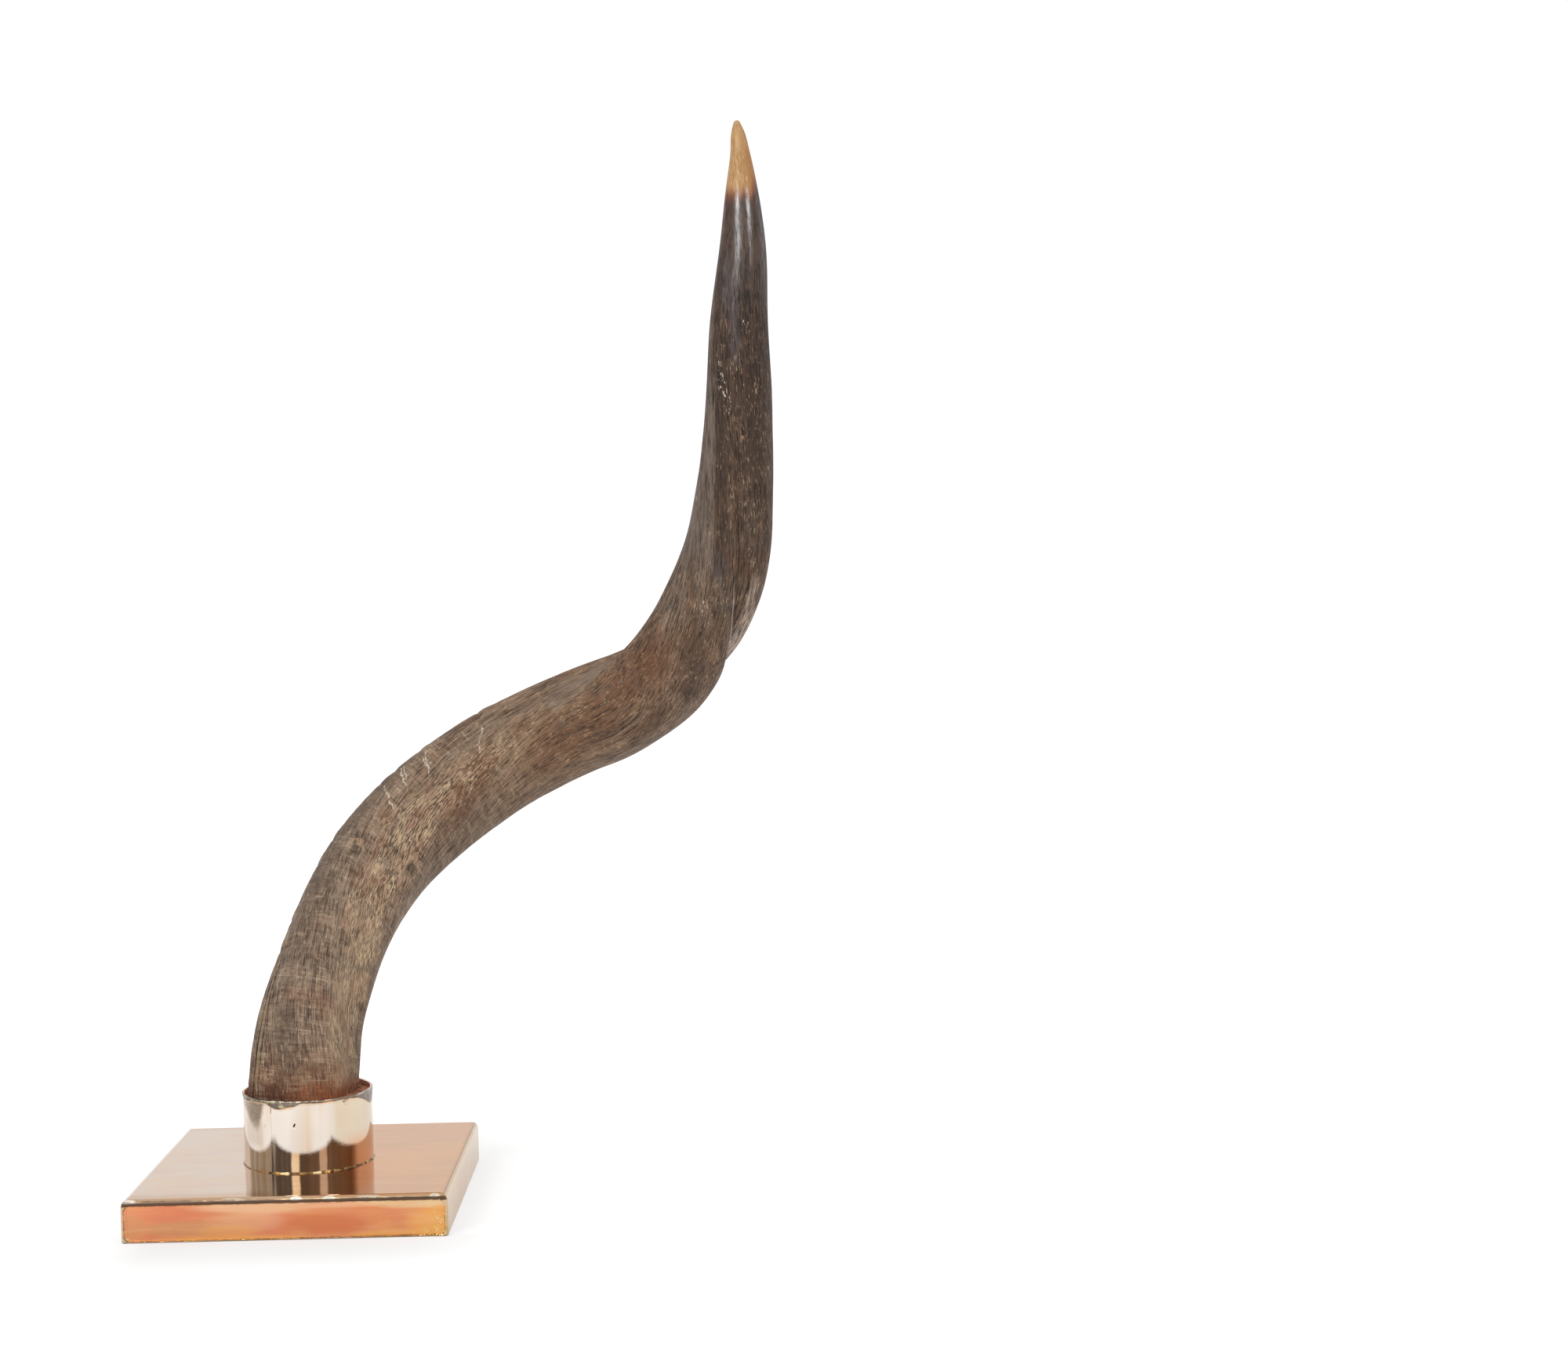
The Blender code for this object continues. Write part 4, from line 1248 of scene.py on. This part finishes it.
def baseFinish():
    look = baseSetup
    finish = Finish("copper cladding", look)
    paint = finish.paint
    here = finish.here()
    x, y, z = split(here)
    outside, facing = split(finish.carried("seam"))[:2]
    clouds = grain(here, 26, 4, 0.6, 0.4)
    smears = grain(stretched(here, (1, 2.2, 3.5)), 34, 4, 0.6, 0.6)
    sweeps = grain(stretched(here, (0.35, 1.6, 1)), 46, 4, 0.6, 0.3)
    streaks = grain(stretched(here, (1, 1, 0.10)), 260, 3, 0.6)
    brushed = grain(stretched(here, (0.06, 1, 1)), 900, 3, 0.6)
    lumps = grain(here, 240, 4, 0.65)
    fine = grain(here, 1100, 3, 0.6)
    specks = grain(here, 620, 2, 0.5)

    # the plates at front and back
    plates = blend(between(smears, -0.14, 0.16), look["copper"], look["rose"])
    plates = blend(between(clouds, -0.02, 0.22) * 0.5, plates, look["gold"])
    for shade, along, up, reach, tall, most in look["frontPatches"]:
        spot = spotAt(here, (along, look["front"], up), (reach, 30, tall))
        amount = between(spot + smears * 0.7 + clouds * 0.4, 0.0, 1.0) * between(spot, 0.0, 0.35)
        plates = blend(amount * most, plates, look[shade])
    banded = grain(stretched(here, (0.25, 1, 2.4)), 90, 4, 0.6, 0.5)
    plates = blend(between(banded, 0.00, 0.20) * 0.30, plates, look["pink"])
    plates = blend((1 - between(banded, -0.18, 0.00)) * 0.25, plates, look["rust"])

    # the folded sides, paler upwards and to the back
    height = z + streaks * 0.012
    sides = blend(between(height, 0.002, 0.013), look["sideLow"], look["sideMiddle"])
    sides = blend(between(height, 0.012, 0.022), sides, look["sideHigh"])
    sides = blend(between(y + clouds * 0.05, -0.02, 0.10) * 0.6, sides, look["sideBack"])

    # the top, silvery at the left and copper at the right
    leftward = 1 - between(x + sweeps * 0.06 + y * 0.15, -0.050, 0.045)
    top = blend(leftward, look["topRight"], look["topLeft"])
    near = spotAt(here, *look["near"])
    top = blend(near * between(sweeps, -0.20, 0.10) * 0.8, top, look["topNear"])
    frontward = 1 - between(y + sweeps * 0.02, -0.086, -0.070)
    top = blend(frontward * leftward * 0.8, top, look["topEdge"])
    top = blend(between(sweeps + clouds * 0.4, -0.04, 0.16) * 0.20, top, look["rose"])
    top = blend((1 - between(sweeps - clouds * 0.5, -0.14, 0.02)) * 0.22, top, look["gold"])

    isFront = between(facing, 0.4, 0.6)
    crown, lipFoot = look["height"] * mm, look["wallTo"] * mm
    onTop = between(z, crown - 0.0012, crown - 0.0003)
    onBead = between(z, lipFoot + 0.0003, lipFoot + 0.0006) * isFront
    finish.colour = sides
    paint(isFront, plates)
    paint(onBead, "bead")
    paint(onTop, top)

    # painted dark reflection under the lip, wider to the right, and painted highlights on it; solder round
    # the plates, with painted glints at the right end
    wide = 0.0016 - between(x, -0.06, 0.03) * 0.0005 + lumps * 0.0011 + smears * 0.0008
    lipDarkReflection = isFront * between(z, lipFoot, lipFoot + 0.0004)
    lipDarkReflection = lipDarkReflection * (1 - between(z - wide, lipFoot + 0.0008, lipFoot + 0.0015))
    # painted highlights on the lip
    for along, reach, most in look["lipPaintedHighlights"]:
        spot = spotAt(here, (along, -88.6, 22.8), (reach, 3, 1.8))
        paintedHighlight = between(spot + lumps * 0.8, 0.10, 0.60) * isFront * between(spot, 0.0, 0.1)
        paint(paintedHighlight * most, "paintedHighlight")
    paint(lipDarkReflection * 0.90, "lipDarkReflection")
    wall = isFront * (1 - between(z, lipFoot, lipFoot + 0.0003))
    border = wall * between(outside, 0.05, 0.35)
    paint(border * 0.85, "solder")
    paint(border * between(lumps + fine * 0.6, 0.00, 0.12) * 0.55, "dark")
    gap = wall * (1 - between(abs(outside + 0.05 + lumps * 0.5), 0.06, 0.40))
    paint(gap * between(lumps + fine * 0.5, -0.14, 0.06) * 0.75, "dark")
    rightEnd = wall * (spotAt(here, *look["rightSolder"][0]) + spotAt(here, *look["rightSolder"][1]))
    # painted glints on the solder at the right end
    paintedGlints = between(fine + lumps * 0.8, 0.04, 0.13) * rightEnd
    paint(between(lumps + fine * 0.6, 0.02, 0.16) * rightEnd * 0.35, "dark")
    paint(paintedGlints * 0.9, "paintedGlint")
    foot = 1 - between(z + lumps * 0.0006, 0.0006, 0.0010)
    paint(foot * 0.65, "dark")
    sideLine = (1 - isFront) * band(z, crown - 0.0009, crown - 0.0007, crown - 0.0006, crown - 0.0003)
    paint(sideLine * 0.6, "dark")
    dots = between(specks + lumps * 0.3, 0.29, 0.32)
    paint(dots * 0.5, "dark")

    roughness = 0.22 + clouds * 0.10 - onTop * 0.17 - onBead * (1 - onTop) * 0.08 + border * 0.08
    roughness = roughness + smears * 0.06 + lipDarkReflection * 0.2 + foot * 0.1
    relief = brushed * (0.10 + onTop * 0.22) + clouds * 0.6 + lumps * 0.12
    relief = relief + (border + rightEnd) * (lumps * 1.6 + fine * 1.2)
    finish.feed(relief, 0.14, Roughness=roughness, Metallic=1 - lipDarkReflection * 0.5)
    return finish


makePiece("copperCladding", claddingShape(), baseFinish(), "base_cladding")


# Block: the wood inside the base keeps its modelled shape and gets its grain here

blockSetup = {"early": (150, 112, 74), "late": (186, 148, 104), "fibre": (112, 78, 48), "pore": (70, 48, 30)}


def blockFinish():
    look = blockSetup
    finish = Finish("block wood", look)
    here = finish.here()
    fibres = grain(stretched(here, (0.05, 1, 1)), 420, 4, 0.6, 0.3)
    bands = grain(stretched(here, (0.12, 1, 1)), 60, 3, 0.5, 0.8)
    pores = grain(stretched(here, (0.03, 1, 1)), 1800, 2, 0.5)
    finish.colour = blend(between(bands, -0.15, 0.15), look["early"], look["late"])
    finish.paint(between(fibres, 0.02, 0.20) * 0.6, "fibre")
    finish.paint(between(pores, 0.16, 0.22) * 0.6, "pore")
    finish.feed(fibres + pores * 0.4, 0.4, Roughness=0.7 + fibres * 0.2)
    return finish


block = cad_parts["base_block"]
block.data.materials.clear()
block.data.materials.append(blockFinish().material)
print("base block finished")
